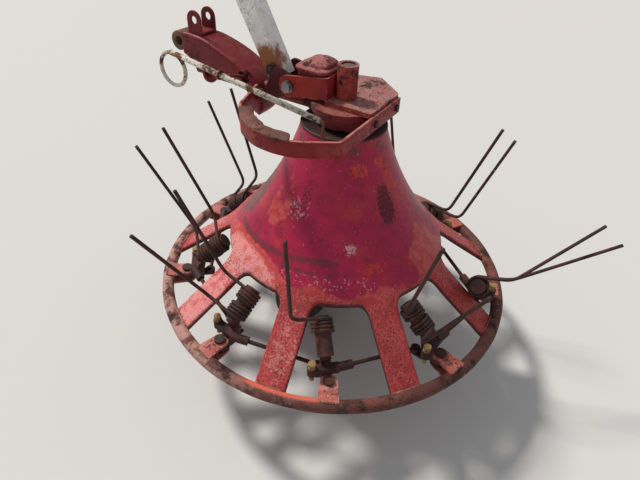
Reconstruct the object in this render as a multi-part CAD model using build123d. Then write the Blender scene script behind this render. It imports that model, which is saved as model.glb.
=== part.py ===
from build123d import *
import math
import os

# One rotor unit of a two-rotor hay tedder, in millimetres.
# Everything is drawn about the rotor axis with height 0 at the middle of the rotor ring,
# +X to the machine's right, +Y forward and +Z up, and is moved at the very end so that
# the origin is the centre of the hinge bore at the inner end of the carrier arm.

# Driving sizes of the rotor
TINE_ARMS = 9
SPOKE_ANGLE = 2.5
ARM_LAG = 3.0
RING_OUTER_R = 525.0
RING_TUBE_R = 17.0
HINGE_Z = 600.0
SPOKE_W = 80.0
BELL_WALL = 5.0
SPOKE_END = (RING_OUTER_R - 25.0, 4.0)
SPOKE_TOP = (RING_OUTER_R - 180.0, 120.0)
NECK_H = HINGE_Z - 104.0
NECK_FOOT = (116.0, NECK_H - 23.0)
FLARE_SAG = 26.0
NECK_TOP_R = 110.0
RIM_R = 113.0
RIM_T = 10.0
WINDOW_TOP_R = SPOKE_TOP[0] - 30.0
WINDOW_CORNER_R = 32.0
LIP_T = 4.0
LIP_DEPTH = 20.0
HUB_R = 45.0
HUB_BORE_R = 24.0
HUB_FOOT_Z = NECK_H - 66.0
HUB_FLANGE_R = 92.0
HUB_FLANGE_T = 8.0

# Tine arms: lugs on the ring, pivot, holder, coil spring and link
PIVOT_R = RING_OUTER_R - RING_TUBE_R - 56.0
PIN_R = 8.0
LUG_T = 6.0
LUG_INSIDE = 13.0
LUG_END_R = 22.0
LUG_ROOT_W = 54.0
LUG_SEAT = 0.1
PIVOT_SLEEVE_R = 18.0
PIN_CAP_R = 14.0
PIN_CAP_T = 8.0
SPOOL_MIDDLE = (PIVOT_R - 87.0, 94.0)
SPOOL_TILT = 38.0
SPOOL_R = 21.0
SPOOL_PLATE_T = 11.0
WIRE_R = 4.75
COIL_MEAN_R = 26.0
COIL_TURNS = 4
COIL_GAP = 9.0
CROSS_BAR = (22.0, 18.0)
CROSS_BAR_R = PIVOT_R - 27.0
CROSS_BAR_Z = 35.0
ADJUSTER_T = -38.0
ADJUSTER_R = 6.5
SWIVEL_T = 30.0
SWIVEL_R = 12.0
SWIVEL_LENGTH = 50.0
LINK_R = 5.5
EYE_R = 13.0
EYE_T = 9.0
EYE_POST_R = 5.7
EYE_PLACE = (PIVOT_R - 67.0, -12.0)

# Tines: each runs off the top of its coil to the side, bends and rises straight to its tip
TINE_BEND_R = 26.0
TINE_RUN = (9.0, -80.0, 18.0)
TINE_REACH = 295.0
ARM_TABLE = (
    # swivel of the arm; side angle and rise of the outer tine; the same of the inner tine
    (75.0, (-60.0, 26.0), (-40.0, 23.0)),
    (0.0, (-12.0, 66.0), (-14.0, 68.0)),
    (0.0, (60.0, 52.0), (43.0, 66.0)),
    (0.0, (-15.0, 60.0), (-18.0, 70.0)),
    (0.0, (-5.0, 60.0), (-15.0, 65.0)),
    (0.0, (-30.0, 55.0), (-22.0, 65.0)),
    (0.0, (-15.0, 60.0), (-15.0, 72.0)),
    (14.0, None, (-21.5, 78.6)),
    (13.0, (-14.0, 64.8), (-29.6, 74.6)),
)

# Gear housing, its cover and the height sleeve of the wheel stem
HOUSING_R = 86.0
HOUSING_WAIST_R = 78.0
HOUSING_FOOT_Z = HINGE_Z - 97.0
HOUSING_TOP_Z = HINGE_Z - 55.0
COVER_T = 12.0
COVER_OUTLINE = (
    # x, y
    (-35.0, -50.0),
    (96.0, -50.0),
    (96.0, 103.0),
    (12.0, 174.0),
    (-58.0, 150.0),
    (-58.0, 60.0),
    (-35.0, 60.0),
)
COVER_SKIRT_T = 6.0
COVER_SKIRT_H = 40.0
BOSS_R = 26.0
BOSS_TOP_Z = HINGE_Z + 40.0
STEM_R = 18.0
STEM_TOP_Z = HINGE_Z + 36.0
CROSS_HOLE_R = 6.0
CROSS_HOLE_Z = HINGE_Z
CROSS_HOLE_ANGLE = -100.0
HUMP_R = 41.0
HUMP_AXIS_Z = HINGE_Z + 4.0
HUMP_SIDE = (
    # x, z
    (-120.0, HINGE_Z - 60.0),
    (-120.0, HINGE_Z - 4.0),
    (-108.0, HINGE_Z + 17.0),
    (-80.0, HINGE_Z + 40.0),
    (-62.0, HINGE_Z + 43.0),
    (-35.3, HINGE_Z + 43.0),
    (-35.3, HINGE_Z - 60.0),
)

# Clevis strap and the bolt that holds the arm in it
STRAP_INSIDE = 44.0
STRAP_T = 6.0
STRAP_H = 55.0
STRAP_WEB_X = -26.3
BOLT_X = -141.0
BOLT_Z = HINGE_Z - 34.0
BOLT_R = 8.0
BOLT_HEAD_AF = 24.0

# Guard bow, a flat bar bolted to the cover's right side
BOW_T = 8.0
BOW_H = 40.0
BOW_TOP_Z = HINGE_Z - 50.0
BOW_END_Y = 100.0
BOW_CORNER_Y = -198.0
BOW_POINTS = (
    # x, y, turning radius
    (4.0, -259.0, 150.0),
    (-86.0, -250.0, 90.0),
    (-150.0, -225.0, 90.0),
    (-205.0, -170.0, 60.0),
)
BOW_LEFT_END = (-238.0, -50.3)
BOW_STRIP_W = 30.0
BOW_STRIP_T = 4.0
BOW_STRIP_EDGES = 7
BOW_CORNER_R = 14.0
BOW_BOLT_Y = (-36.0, 78.0)
BOW_BOLT_R = 5.0
BOW_BOLT_AF = 17.0

# Carrier arm, hinge barrel, gusset, strut and drive tube
HINGE_X = -520.0
BARREL_R = 26.0
BARREL_BORE_R = 12.5
BARREL_LENGTH = 76.0
ARM_WALL = 6.0
ARM_SIDE = (
    # x, z along the top from the hinge, down round the outer end and back below
    (-512.0, HINGE_Z + 26.0),
    (-430.0, HINGE_Z + 26.0),
    (-340.0, HINGE_Z - 2.0),
    (-290.0, HINGE_Z - 24.0),
    (-254.0, HINGE_Z - 44.0),
    (-234.0, HINGE_Z - 68.0),
    (-227.0, HINGE_Z - 95.0),
    (-234.0, HINGE_Z - 124.0),
    (-247.0, HINGE_Z - 150.0),
    (-262.0, HINGE_Z - 148.0),
    (-282.0, HINGE_Z - 122.0),
    (-268.0, HINGE_Z - 76.0),
    (-343.0, HINGE_Z - 71.0),
    (-420.0, HINGE_Z - 61.0),
    (-512.0, HINGE_Z - 28.0),
)
ARM_OPEN_X = -274.0
ARM_OPEN_Z = HINGE_Z - 44.0
ARM_EYE = (-284.0, HINGE_Z - 48.0, 11.0)
ARM_TAPER_X = -340.0
CHEEK_T = 8.0
CHEEK_OUTLINE = (
    # x, z
    (-254.0, HINGE_Z - 52.0),
    (-246.0, HINGE_Z - 8.0),
    (-226.0, HINGE_Z + 6.0),
    (-188.0, HINGE_Z + 6.0),
    (-124.0, HINGE_Z - 14.0),
    (-124.0, HINGE_Z - 54.0),
    (-176.0, HINGE_Z - 78.0),
    (-226.0, HINGE_Z - 104.0),
)
CHEEK_BACK_X = (-240.0, -221.0)
CHEEK_BACK_Z = (HINGE_Z - 100.0, HINGE_Z - 56.0)
STRUT_W = 50.0
STRUT_WALL = 4.0
STRUT_FOOT = (-205.0, HINGE_Z - 12.0)
STRUT_LEAN = 29.2
STRUT_LENGTH = 370.0
STRUT_PIN_R = 9.0
STRUT_EYE_R = 22.0
STRUT_EYE_W = 30.0
EAR_T = 6.0
EAR_INSIDE = 24.0
EAR_CENTRE = (-462.0, HINGE_Z + 62.0)
EAR_R = 24.0
EAR_HOLE_R = 10.0
DRIVE_R = 19.0
DRIVE_AXIS_Z = HINGE_Z - 77.0
HANGER_X = -446.0
HANGER_T = 8.0
DRIVE_STUB = 40.0
DRIVE_STUB_R = 15.0
DRIVE_COLLAR = 2.0

# Lever rod with its hand loop, and the guide that holds it
ROD_R = 7.0
ROD_TIP = (18.0, -150.0, HINGE_Z - 44.0)
ROD_NECK = (-375.0, -165.0, HINGE_Z + 17.0)
HOOK_R = 3.5
HOOK_REACH = 9.0
HOOK_DROP = 46.0
LOOP_R = 5.0
LOOP_W = 80.0
LOOP_H = 84.0
GUIDE_X = -262.0
GUIDE_T = 6.0
GUIDE_EYE_R = 12.0
GUIDE_FOOT_Z = HINGE_Z - 66.0

# Support wheel under the rotor, on a crank at the foot of the stem
TYRE_R = 200.0
TYRE_W = 88.0
RIM_SEAT_R = 101.6
RIM_FLANGE_R = 112.0
RIM_W = 62.0
RIM_T_WALL = 4.0
WHEEL_X = -78.0
AXLE_Y = 30.0
AXLE_Z = -66.0
AXLE_R = 12.5
WHEEL_HUB_R = 28.0
WHEEL_HUB_HALF = 52.0
CRANK_HALF = 23.0

# Clearances
RUNNING = 0.05
SLIDE = 0.15
SEAT = 0.3
RING_R = RING_OUTER_R - RING_TUBE_R
PITCH_ANGLE = 360.0 / TINE_ARMS
ARM_HALF_W = STRAP_INSIDE + ARM_WALL
SPOOL_PLACE = Pos(SPOOL_MIDDLE[0], 0, SPOOL_MIDDLE[1]) * Rot(0, SPOOL_TILT, 0)
FRAME_ORIGIN = Pos(-HINGE_X, 0, -HINGE_Z)


def rod(start, end, radius):
    """A round bar between two points."""
    start, end = Vector(*start), Vector(*end)
    along = end - start
    plane = Plane(origin=start, z_dir=along)
    return extrude(plane * Circle(radius), along.length)


def slab(x, y, z):
    """A block between two limits on each axis."""
    size = (x[1] - x[0], y[1] - y[0], z[1] - z[0])
    middle = ((x[0] + x[1]) / 2, (y[0] + y[1]) / 2, (z[0] + z[1]) / 2)
    return Pos(*middle) * Box(*size)


def upright(radius, x, y, bottom, top):
    """A vertical cylinder."""
    return Pos(x, y, (bottom + top) / 2) * Cylinder(radius, top - bottom)


def side_plate(outline, near, far):
    """A plate cut to an outline of x and z, between two values of y."""
    face = Plane.XZ * make_face(Polyline(*outline, close=True))
    return Pos(0, far, 0) * extrude(face, far - near)


def hex_head(centre, axis, flats, thickness):
    """A hexagon head standing from its centre along an axis."""
    plane = Plane(origin=centre, z_dir=axis)
    return extrude(plane * RegularPolygon(flats / 2, 6, major_radius=False), thickness)


def arm_angle(index):
    """Angle of a tine arm, a little short of midway between two spokes."""
    return SPOKE_ANGLE + PITCH_ANGLE * (index + 0.5) - ARM_LAG


def turned(shape, index):
    """A shape drawn along +X, turned to its tine arm."""
    return Rot(0, 0, arm_angle(index)) * shape


def swivelled(shape, index):
    """A shape of a tine arm, swung about the arm's upright pivot."""
    return Pos(PIVOT_R, 0, 0) * Rot(0, 0, ARM_TABLE[index][0]) * Pos(-PIVOT_R, 0, 0) * shape


# Rotor bell


def bell_meridian(inset):
    """Corners of the bell's section, moved inwards by inset: spoke end, spoke top, flare, neck foot, top."""
    end, top, foot = Vector(*SPOKE_END), Vector(*SPOKE_TOP), Vector(*NECK_FOOT)
    crown = Vector(NECK_TOP_R, NECK_H)
    chord = foot - top
    inward = Vector(-chord.Y, chord.X).normalized()
    middle = (top + foot) * 0.5 + inward * FLARE_SAG
    radius = (chord.length**2 / 4 + FLARE_SAG**2) / (2 * FLARE_SAG)
    centre = middle - inward * radius

    def normal(start, finish):
        run = (finish - start).normalized()
        return Vector(-run.Y, run.X)

    def corner(point, before, after):
        mean = (before + after).normalized()
        return point + mean * (inset / mean.dot(before))

    spoke, neck = normal(end, top), normal(foot, crown)
    flare_low = (top - centre).normalized()
    flare_high = (foot - centre).normalized()
    return (
        corner(end, spoke, spoke),
        corner(top, spoke, flare_low),
        middle + inward * inset,
        corner(foot, flare_high, neck),
        corner(crown, neck, neck),
    )


def bell_skin(outer, inner):
    """Solid of revolution between two insets of the bell's section."""
    a, b = bell_meridian(outer), bell_meridian(inner)
    edges = [
        Line(a[0], a[1]),
        ThreePointArc(a[1], a[2], a[3]),
        Line(a[3], a[4]),
        Line(a[4], b[4]),
        Line(b[4], b[3]),
        ThreePointArc(b[3], b[2], b[1]),
        Line(b[1], b[0]),
        Line(b[0], a[0]),
    ]
    return revolve(Plane.XZ * make_face(edges), Axis.Z)


def window_outline(grow):
    """Plan of one window along +X, between two spokes, widened all round by grow."""
    half = math.radians(PITCH_ANGLE / 2)
    side = SPOKE_W / 2 - grow

    def edge_point(along):
        return (
            along * math.cos(half) + side * math.sin(half),
            along * math.sin(half) - side * math.cos(half),
        )

    near, far = edge_point(WINDOW_TOP_R * 0.6), edge_point(RING_OUTER_R + 60)
    wedge = Polyline(near, far, (far[0], -far[1]), (near[0], -near[1]), close=True)
    window = make_face(wedge) - Circle(WINDOW_TOP_R - grow)
    corners = window.vertices().filter_by_position(Axis.X, 0, WINDOW_TOP_R * 1.1)
    return fillet(corners, WINDOW_CORNER_R + grow)


def rotor_bell():
    """Flared bell with nine spokes, lips rolled down round the windows, and a rim at the neck."""
    height = NECK_H
    window = extrude(window_outline(0), height)
    band = extrude(window_outline(LIP_T), height) - window
    skirt = bell_skin(0, LIP_DEPTH)
    bell = bell_skin(0, BELL_WALL)
    lips = skirt & band
    for index in range(TINE_ARMS):
        middle = Rot(0, 0, SPOKE_ANGLE + PITCH_ANGLE * (index + 0.5))
        bell = bell - middle * window + middle * lips
    bell += upright(RIM_R, 0, 0, NECK_H - RIM_T, NECK_H) - upright(NECK_TOP_R - 6, 0, 0, 0, NECK_H)
    deck = upright(NECK_TOP_R - 1, 0, 0, NECK_H - BELL_WALL, NECK_H)
    bell += deck - upright(HUB_R + SEAT, 0, 0, 0, NECK_H)
    return bell - Torus(RING_R, RING_TUBE_R)


def rotor_ring():
    """Ring that the spokes end on, in equal arcs that meet face to face beside each spoke."""
    length = PITCH_ANGLE / 2
    first = (SPOKE_ANGLE + arm_angle(0)) / 2
    arc = revolve(Plane.XZ * Pos(RING_R, 0) * Circle(RING_TUBE_R), Axis.Z, length)
    return [Rot(0, 0, first + length * index) * arc for index in range(TINE_ARMS * 2)]


def ring_lugs():
    """A pair of pierced lugs on the ring at each tine arm."""
    tip = PIVOT_R - LUG_END_R
    plan = make_face(
        Polyline(
            (RING_R, -LUG_ROOT_W / 2),
            (RING_R, LUG_ROOT_W / 2),
            (PIVOT_R, LUG_END_R),
            (tip, LUG_END_R),
            (tip, -LUG_END_R),
            (PIVOT_R, -LUG_END_R),
            close=True,
        )
    )
    corners = plan.vertices().filter_by_position(Axis.X, tip - 1, tip + 1)
    plan = fillet(corners, LUG_END_R * 0.9) - Pos(PIVOT_R, 0) * Circle(PIN_R + SLIDE)
    seat = Torus(RING_R, RING_TUBE_R + LUG_SEAT)
    lugs = []
    for foot in (LUG_INSIDE, -LUG_INSIDE - LUG_T):
        lug = Pos(0, 0, foot) * extrude(plan, LUG_T) - seat
        lugs += [turned(lug.solids().sort_by(Axis.X)[0], index) for index in range(TINE_ARMS)]
    return lugs


def rotor_hub():
    """Hollow shaft that carries the bell from a flange and turns in the gear housing."""
    flange_top = NECK_H - BELL_WALL
    hub = upright(HUB_R, 0, 0, HUB_FOOT_Z, HOUSING_TOP_Z - 4)
    hub += upright(HUB_FLANGE_R, 0, 0, flange_top - HUB_FLANGE_T, flange_top)
    return hub - upright(HUB_BORE_R, 0, 0, 0, BOSS_TOP_Z)


# Tine arms


def about_pivot(point, index):
    """A point of a tine arm after the arm has swung about its pivot."""
    pivot = Vector(PIVOT_R, 0, 0)
    return pivot + (Vector(*point) - pivot).rotate(Axis.Z, ARM_TABLE[index][0])


def link_ends(index):
    """Start of a link at its own arm's swivel and its end on the next arm's post."""
    start = about_pivot((CROSS_BAR_R, SWIVEL_T, CROSS_BAR_Z), index)
    post = about_pivot((*EYE_PLACE, 0), (index + 1) % TINE_ARMS)
    return start, post.rotate(Axis.Z, PITCH_ANGLE)


def coil_half_span():
    """Half the length of the double coil along its spool."""
    return COIL_TURNS * 2 * WIRE_R + COIL_GAP / 2


def spool_point(along, up):
    """Height and radius of a point given along the spool's axis and square to it."""
    tilt = math.radians(SPOOL_TILT)
    return (
        SPOOL_MIDDLE[0] + along * math.cos(tilt) + up * math.sin(tilt),
        SPOOL_MIDDLE[1] - along * math.sin(tilt) + up * math.cos(tilt),
    )


def tine_holder(index):
    """Pivoting holder: sleeve between the lugs, riser, tilted spool, cross bar, swivel and post."""
    sleeve_half = LUG_INSIDE - SEAT
    column_end = PIVOT_R - LUG_END_R - 2
    bar_x = (CROSS_BAR_R - CROSS_BAR[0] / 2, CROSS_BAR_R + CROSS_BAR[0] / 2)
    bar_z = (CROSS_BAR_Z - CROSS_BAR[1] / 2, CROSS_BAR_Z + CROSS_BAR[1] / 2)
    seat = coil_half_span() + SEAT
    back = seat + SPOOL_PLATE_T
    riser = (
        spool_point(seat, -14),
        spool_point(seat, 18),
        spool_point(back, 18),
        spool_point(back, -14),
        (bar_x[0] - 4, bar_z[1]),
        (column_end, bar_z[1]),
        (column_end, -sleeve_half),
        (bar_x[0] - 10, -sleeve_half),
        (bar_x[0] - 18, bar_z[1] - 8),
    )
    holder = upright(PIVOT_SLEEVE_R, PIVOT_R, 0, -sleeve_half, sleeve_half)
    holder += slab((bar_x[0] - 8, PIVOT_R - 4), (-13, 13), (-sleeve_half, sleeve_half))
    holder += side_plate(riser, -13, 13)
    holder += SPOOL_PLACE * rod((-coil_half_span() - 4, 0, 0), (back, 0, 0), SPOOL_R)
    holder += SPOOL_PLACE * hex_head((back, 0, 0), (1, 0, 0), BOLT_HEAD_AF, 8)
    holder += slab(bar_x, (ADJUSTER_T, SWIVEL_T), bar_z)
    holder += upright(ADJUSTER_R + 5.5, CROSS_BAR_R, ADJUSTER_T, bar_z[0] - 3, bar_z[1] + 4)
    start, end = link_ends(index)
    along = (end - start).normalized().rotate(Axis.Z, -ARM_TABLE[index][0])
    start = Vector(CROSS_BAR_R, SWIVEL_T, CROSS_BAR_Z)
    reach = SWIVEL_LENGTH / 4
    holder += rod(start - along * reach, start + along * reach * 3, SWIVEL_R)
    post_x, post_y = EYE_PLACE
    shelf = (-sleeve_half, -EYE_T / 2 - SEAT)
    holder += slab((post_x - 13, bar_x[0]), (post_y - 13, post_y + 13), shelf)
    holder += upright(EYE_POST_R, post_x, post_y, -sleeve_half, EYE_T / 2 + 4)
    holder -= upright(PIN_R + SLIDE, PIVOT_R, 0, -RING_TUBE_R, RING_TUBE_R)
    holder -= upright(ADJUSTER_R + SLIDE, CROSS_BAR_R, ADJUSTER_T, -20, 90)
    holder -= rod(start - along * (reach + 5), start + along * SWIVEL_LENGTH, LINK_R + SLIDE)
    return swivelled(holder, index)


def coil_barrel(start):
    """One close-wound coil, its turns drawn as ridges on a sleeve, from start towards +X."""
    outside = COIL_MEAN_R + WIRE_R
    inside = COIL_MEAN_R - WIRE_R + SLIDE
    pitch = 2 * WIRE_R
    points = [(start, inside), (start, outside - WIRE_R * 0.6)]
    for turn in range(COIL_TURNS):
        points.append((start + pitch * (turn + 0.5), outside))
        points.append((start + pitch * (turn + 1), outside - WIRE_R * 0.6))
    points.append((start + pitch * COIL_TURNS, inside))
    return revolve(Plane.XZ * make_face(Polyline(*points, close=True)), Axis.X)


def tine(coil_along, side_angle, rise):
    """One tine: off the top of its coil to the side, then bent up and out to its tip."""
    x, z = spool_point(coil_along, COIL_MEAN_R)
    root = Vector(x, 0, z)
    bend = root + Vector(*TINE_RUN)
    side, up = math.radians(side_angle), math.radians(rise)
    heading = Vector(math.cos(up) * math.cos(side), math.cos(up) * math.sin(side), math.sin(up))
    path = FilletPolyline(root, bend, bend + heading * TINE_REACH, radius=TINE_BEND_R)
    section = Plane(origin=path @ 0, z_dir=path % 0) * Circle(WIRE_R)
    return sweep(section, path=path)


def spring_tines(index):
    """Double coil with its two tines; one arm has lost its outer tine and that half of the coil."""
    half = coil_half_span()
    _, outer, inner = ARM_TABLE[index]
    coils = coil_barrel(-half)
    if outer:
        bridge_z = (-COIL_MEAN_R - WIRE_R + 1, -COIL_MEAN_R + WIRE_R - 1)
        coils += coil_barrel(COIL_GAP / 2)
        coils += slab((4 - half, half - 4), (-WIRE_R, WIRE_R), bridge_z)
    spring = SPOOL_PLACE * coils
    for coil_along, aim in ((half - WIRE_R, outer), (WIRE_R - half, inner)):
        if aim:
            spring += tine(coil_along, *aim)
    return swivelled(spring, index)


def pivot_pins():
    """Upright pins through lugs and holders, each with a round cap and a low collar."""
    top = LUG_INSIDE + LUG_T
    pin = upright(PIN_R, PIVOT_R, 0, -top - 12, top + PIN_CAP_T)
    pin += upright(PIN_CAP_R, PIVOT_R, 0, top, top + PIN_CAP_T)
    pin += upright(PIN_R + 5, PIVOT_R, 0, -top - 8, -top)
    return [turned(pin, index) for index in range(TINE_ARMS)]


def adjuster_pins():
    """Brass-headed pins in the free end of each cross bar."""
    top = CROSS_BAR_Z + 22
    pin = upright(ADJUSTER_R, CROSS_BAR_R, ADJUSTER_T, 2, top + 8)
    pin += upright(ADJUSTER_R + 3, CROSS_BAR_R, ADJUSTER_T, top, top + 8)
    pin += upright(ADJUSTER_R + 3, CROSS_BAR_R, ADJUSTER_T, CROSS_BAR_Z + 13, CROSS_BAR_Z + 17)
    return [turned(swivelled(pin, index), index) for index in range(TINE_ARMS)]


def link_rods():
    """Nine rods, each from one arm's swivel to an eye on the next arm's post."""
    rods = []
    for index in range(TINE_ARMS):
        start, end = link_ends(index)
        along = (end - start).normalized()
        link = rod(start - along * 8, end - along * (EYE_R - 4), LINK_R)
        link += upright(EYE_R, end.X, end.Y, -EYE_T / 2, EYE_T / 2)
        link -= upright(EYE_POST_R + SEAT, end.X, end.Y, -20, 20)
        rods.append(turned(link, index))
    return rods


# Gear housing group


def stem_cross_hole():
    """Hole for the pin that holds the stem's height, through sleeve and stem."""
    reach = BOSS_R * 2
    angle = math.radians(CROSS_HOLE_ANGLE)
    x, y = reach * math.cos(angle), reach * math.sin(angle)
    return rod((-x, -y, CROSS_HOLE_Z), (x, y, CROSS_HOLE_Z), CROSS_HOLE_R)


def gear_housing():
    """Round casting round the top of the rotor hub, bored at its left for the drive tube."""
    housing = upright(HOUSING_WAIST_R, 0, 0, HOUSING_FOOT_Z, HOUSING_TOP_Z)
    housing += upright(HOUSING_R, 0, 0, HOUSING_TOP_Z - 16, HOUSING_TOP_Z)
    socket = (-HOUSING_R - 14, -HUB_R - 12)
    housing += rod((socket[0], 0, DRIVE_AXIS_Z), (socket[1], 0, DRIVE_AXIS_Z), DRIVE_R + 2)
    housing -= rod((socket[0], 0, DRIVE_AXIS_Z), (socket[1], 0, DRIVE_AXIS_Z), DRIVE_R + SLIDE)
    housing -= upright(HUB_R + RUNNING, 0, 0, 0, HOUSING_TOP_Z - 3.5)
    return housing - upright(STEM_R + SLIDE, 0, 0, 0, BOSS_TOP_Z)


def housing_cover():
    """Cover plate with a turned-down right side, and the upright sleeve for the wheel stem."""
    top = HOUSING_TOP_Z + COVER_T
    outline = make_face(Polyline(*COVER_OUTLINE, close=True))
    cover = Pos(0, 0, HOUSING_TOP_Z) * extrude(fillet(outline.vertices(), 8), COVER_T)
    right = COVER_OUTLINE[1][0]
    skirt_y = (COVER_OUTLINE[1][1] + 6, COVER_OUTLINE[2][1] - 6)
    skirt = slab((right - COVER_SKIRT_T, right), skirt_y, (top - COVER_SKIRT_H, top))
    cover += skirt
    cover += upright(BOSS_R, 0, 0, HOUSING_TOP_Z, BOSS_TOP_Z)
    cover -= upright(STEM_R + SLIDE, 0, 0, 0, BOSS_TOP_Z)
    for hole in bow_bolt_holes():
        cover -= hole
    return cover - stem_cross_hole()


def bow_bolt_holes():
    """Holes for the bow's bolts, through the cover's side and the bow."""
    x, z = COVER_OUTLINE[1][0], BOW_TOP_Z - BOW_H / 2
    return [rod((x - 20, y, z), (x + 20, y, z), BOW_BOLT_R + SLIDE) for y in BOW_BOLT_Y]


def input_housing():
    """Rounded housing of the input gears, left of the sleeve and between the strap's legs."""
    foot = HOUSING_TOP_Z + SEAT
    left, right = HUMP_SIDE[0][0], HUMP_SIDE[-1][0]
    low = slab((left, right), (-HUMP_R, HUMP_R), (foot, HUMP_AXIS_Z))
    round_top = rod((left, 0, HUMP_AXIS_Z), (right, 0, HUMP_AXIS_Z), HUMP_R)
    return (low + round_top) & side_plate(HUMP_SIDE, -HUMP_R, HUMP_R)


def clevis_strap():
    """Flat bar bent to a U that opens to the left, its legs dropping a little to rounded ends."""
    low = HOUSING_TOP_Z + COVER_T
    web_x = (STRAP_WEB_X - STRAP_T, STRAP_WEB_X)
    outside = STRAP_INSIDE + STRAP_T
    end_r = STRAP_H / 2
    leg = Polyline(
        (web_x[1], low),
        (web_x[1], low + STRAP_H),
        (BOLT_X, BOLT_Z + end_r),
        (BOLT_X, BOLT_Z - end_r),
        (COVER_OUTLINE[0][0] - 1, low),
        close=True,
    )
    side = make_face(leg) + Pos(BOLT_X, BOLT_Z) * Circle(end_r)
    side -= Pos(BOLT_X, BOLT_Z) * Circle(BOLT_R + SLIDE)
    plate = extrude(Plane.XZ * side, outside, both=True)
    inside = slab((BOLT_X - STRAP_H, web_x[0]), (-STRAP_INSIDE, STRAP_INSIDE), (0, HINGE_Z + 100))
    return plate - inside


def clevis_bolt():
    """Bolt through the strap and the gusset, with washer, head and nut."""
    face = STRAP_INSIDE + STRAP_T
    bolt = rod((BOLT_X, -face, BOLT_Z), (BOLT_X, face + 18, BOLT_Z), BOLT_R)
    bolt += rod((BOLT_X, -face - 3, BOLT_Z), (BOLT_X, -face, BOLT_Z), BOLT_R * 2)
    bolt += hex_head((BOLT_X, -face - 3, BOLT_Z), (0, -1, 0), BOLT_HEAD_AF, 10)
    bolt += rod((BOLT_X, face, BOLT_Z), (BOLT_X, face + 3, BOLT_Z), BOLT_R * 2)
    bolt += hex_head((BOLT_X, face + 3, BOLT_Z), (0, 1, 0), BOLT_HEAD_AF, 13)
    return bolt


def bow_path():
    """Middle line of the guard bow in plan, from the cover's side round the back to the arm."""
    x = COVER_OUTLINE[1][0] + BOW_T / 2
    points = [(x, BOW_END_Y), (x, BOW_CORNER_Y)]
    points += [(px, py) for px, py, _ in BOW_POINTS]
    points.append(BOW_LEFT_END)
    radii = [BOW_CORNER_R] + [turn for _, _, turn in BOW_POINTS]
    return FilletPolyline(*points, radius=radii)


def guard_bow():
    """Flat bar on edge, with the worn flange strip on top of its left part."""
    low = BOW_TOP_Z - BOW_H
    line = Pos(0, 0, low) * bow_path()
    start = Plane(origin=line @ 0, z_dir=line % 0, x_dir=(1, 0, 0))
    upward = Align.MAX if start.y_dir.Z < 0 else Align.MIN
    bow = sweep(start * Rectangle(BOW_T, BOW_H, align=(Align.CENTER, upward)), path=line)
    left = Pos(0, 0, BOW_TOP_Z - BOW_STRIP_T / 2) * Wire(bow_path().edges()[-round(BOW_STRIP_EDGES):])
    across = Plane(origin=left @ 0, z_dir=left % 0, x_dir=(left % 0).cross(Vector(0, 0, 1)))
    inner = Pos(BOW_STRIP_W / 2, 0) * Rectangle(BOW_STRIP_W, BOW_STRIP_T)
    bow += sweep(across * inner, path=left)
    for hole in bow_bolt_holes():
        bow -= hole
    arm_side = -ARM_HALF_W - SEAT
    return bow - slab((BOW_LEFT_END[0] - BOW_H, 0), (arm_side, 0), (low, BOW_TOP_Z))


def bow_bolts():
    """Bolts that hold the bow to the cover's turned-down side."""
    z = BOW_TOP_Z - BOW_H / 2
    inner = COVER_OUTLINE[1][0] - COVER_SKIRT_T
    outer = COVER_OUTLINE[1][0] + BOW_T
    bolts = []
    for y in BOW_BOLT_Y:
        bolt = rod((inner - 6, y, z), (outer, y, z), BOW_BOLT_R)
        bolt += hex_head((outer, y, z), (1, 0, 0), BOW_BOLT_AF, 6)
        bolt += hex_head((inner, y, z), (-1, 0, 0), BOW_BOLT_AF, 6)
        bolts.append(bolt)
    return bolts


# Carrier arm group


def arm_solid(grow):
    """The arm's outer form as side outline and tapered plan together, grown all round."""
    side = offset(Plane.XZ * make_face(Polyline(*ARM_SIDE, close=True)), grow)
    narrow = BARREL_LENGTH / 2 + grow
    wide = ARM_HALF_W + grow
    plan = Polyline(
        (HINGE_X - 60, -narrow),
        (HINGE_X + 40, -narrow),
        (ARM_TAPER_X, -wide),
        (0, -wide),
        (0, wide),
        (ARM_TAPER_X, wide),
        (HINGE_X + 40, narrow),
        (HINGE_X - 60, narrow),
        close=True,
    )
    if grow < 0:
        below = Polyline(
            (HINGE_X, ARM_SIDE[-1][1] - 80),
            (HINGE_X, ARM_OPEN_Z),
            (ARM_OPEN_X, ARM_OPEN_Z),
            (ARM_OPEN_X, ARM_SIDE[-1][1] - 80),
            close=True,
        )
        side += Plane.XZ * make_face(below)
    return extrude(side, ARM_HALF_W * 2, both=True) & extrude(make_face(plan), 900)


def carrier_arm():
    """Pressed channel, open below, from the hinge barrel to its rounded outer end."""
    arm = arm_solid(0) - arm_solid(-ARM_WALL)
    eye_x, eye_z, eye_r = ARM_EYE
    arm -= rod((eye_x, -ARM_HALF_W - 9, eye_z), (eye_x, 0, eye_z), eye_r)
    arm -= rod((ARM_OPEN_X, 0, DRIVE_AXIS_Z), (0, 0, DRIVE_AXIS_Z), DRIVE_R + SLIDE)
    barrel = rod((HINGE_X, -200, HINGE_Z), (HINGE_X, 200, HINGE_Z), BARREL_R + SEAT / 3)
    return arm - barrel


def hinge_barrel():
    """Bored barrel across the arm's inner end."""
    half = BARREL_LENGTH / 2
    barrel = rod((HINGE_X, -half, HINGE_Z), (HINGE_X, half, HINGE_Z), BARREL_R)
    return barrel - rod((HINGE_X, -half, HINGE_Z), (HINGE_X, half, HINGE_Z), BARREL_BORE_R)


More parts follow.
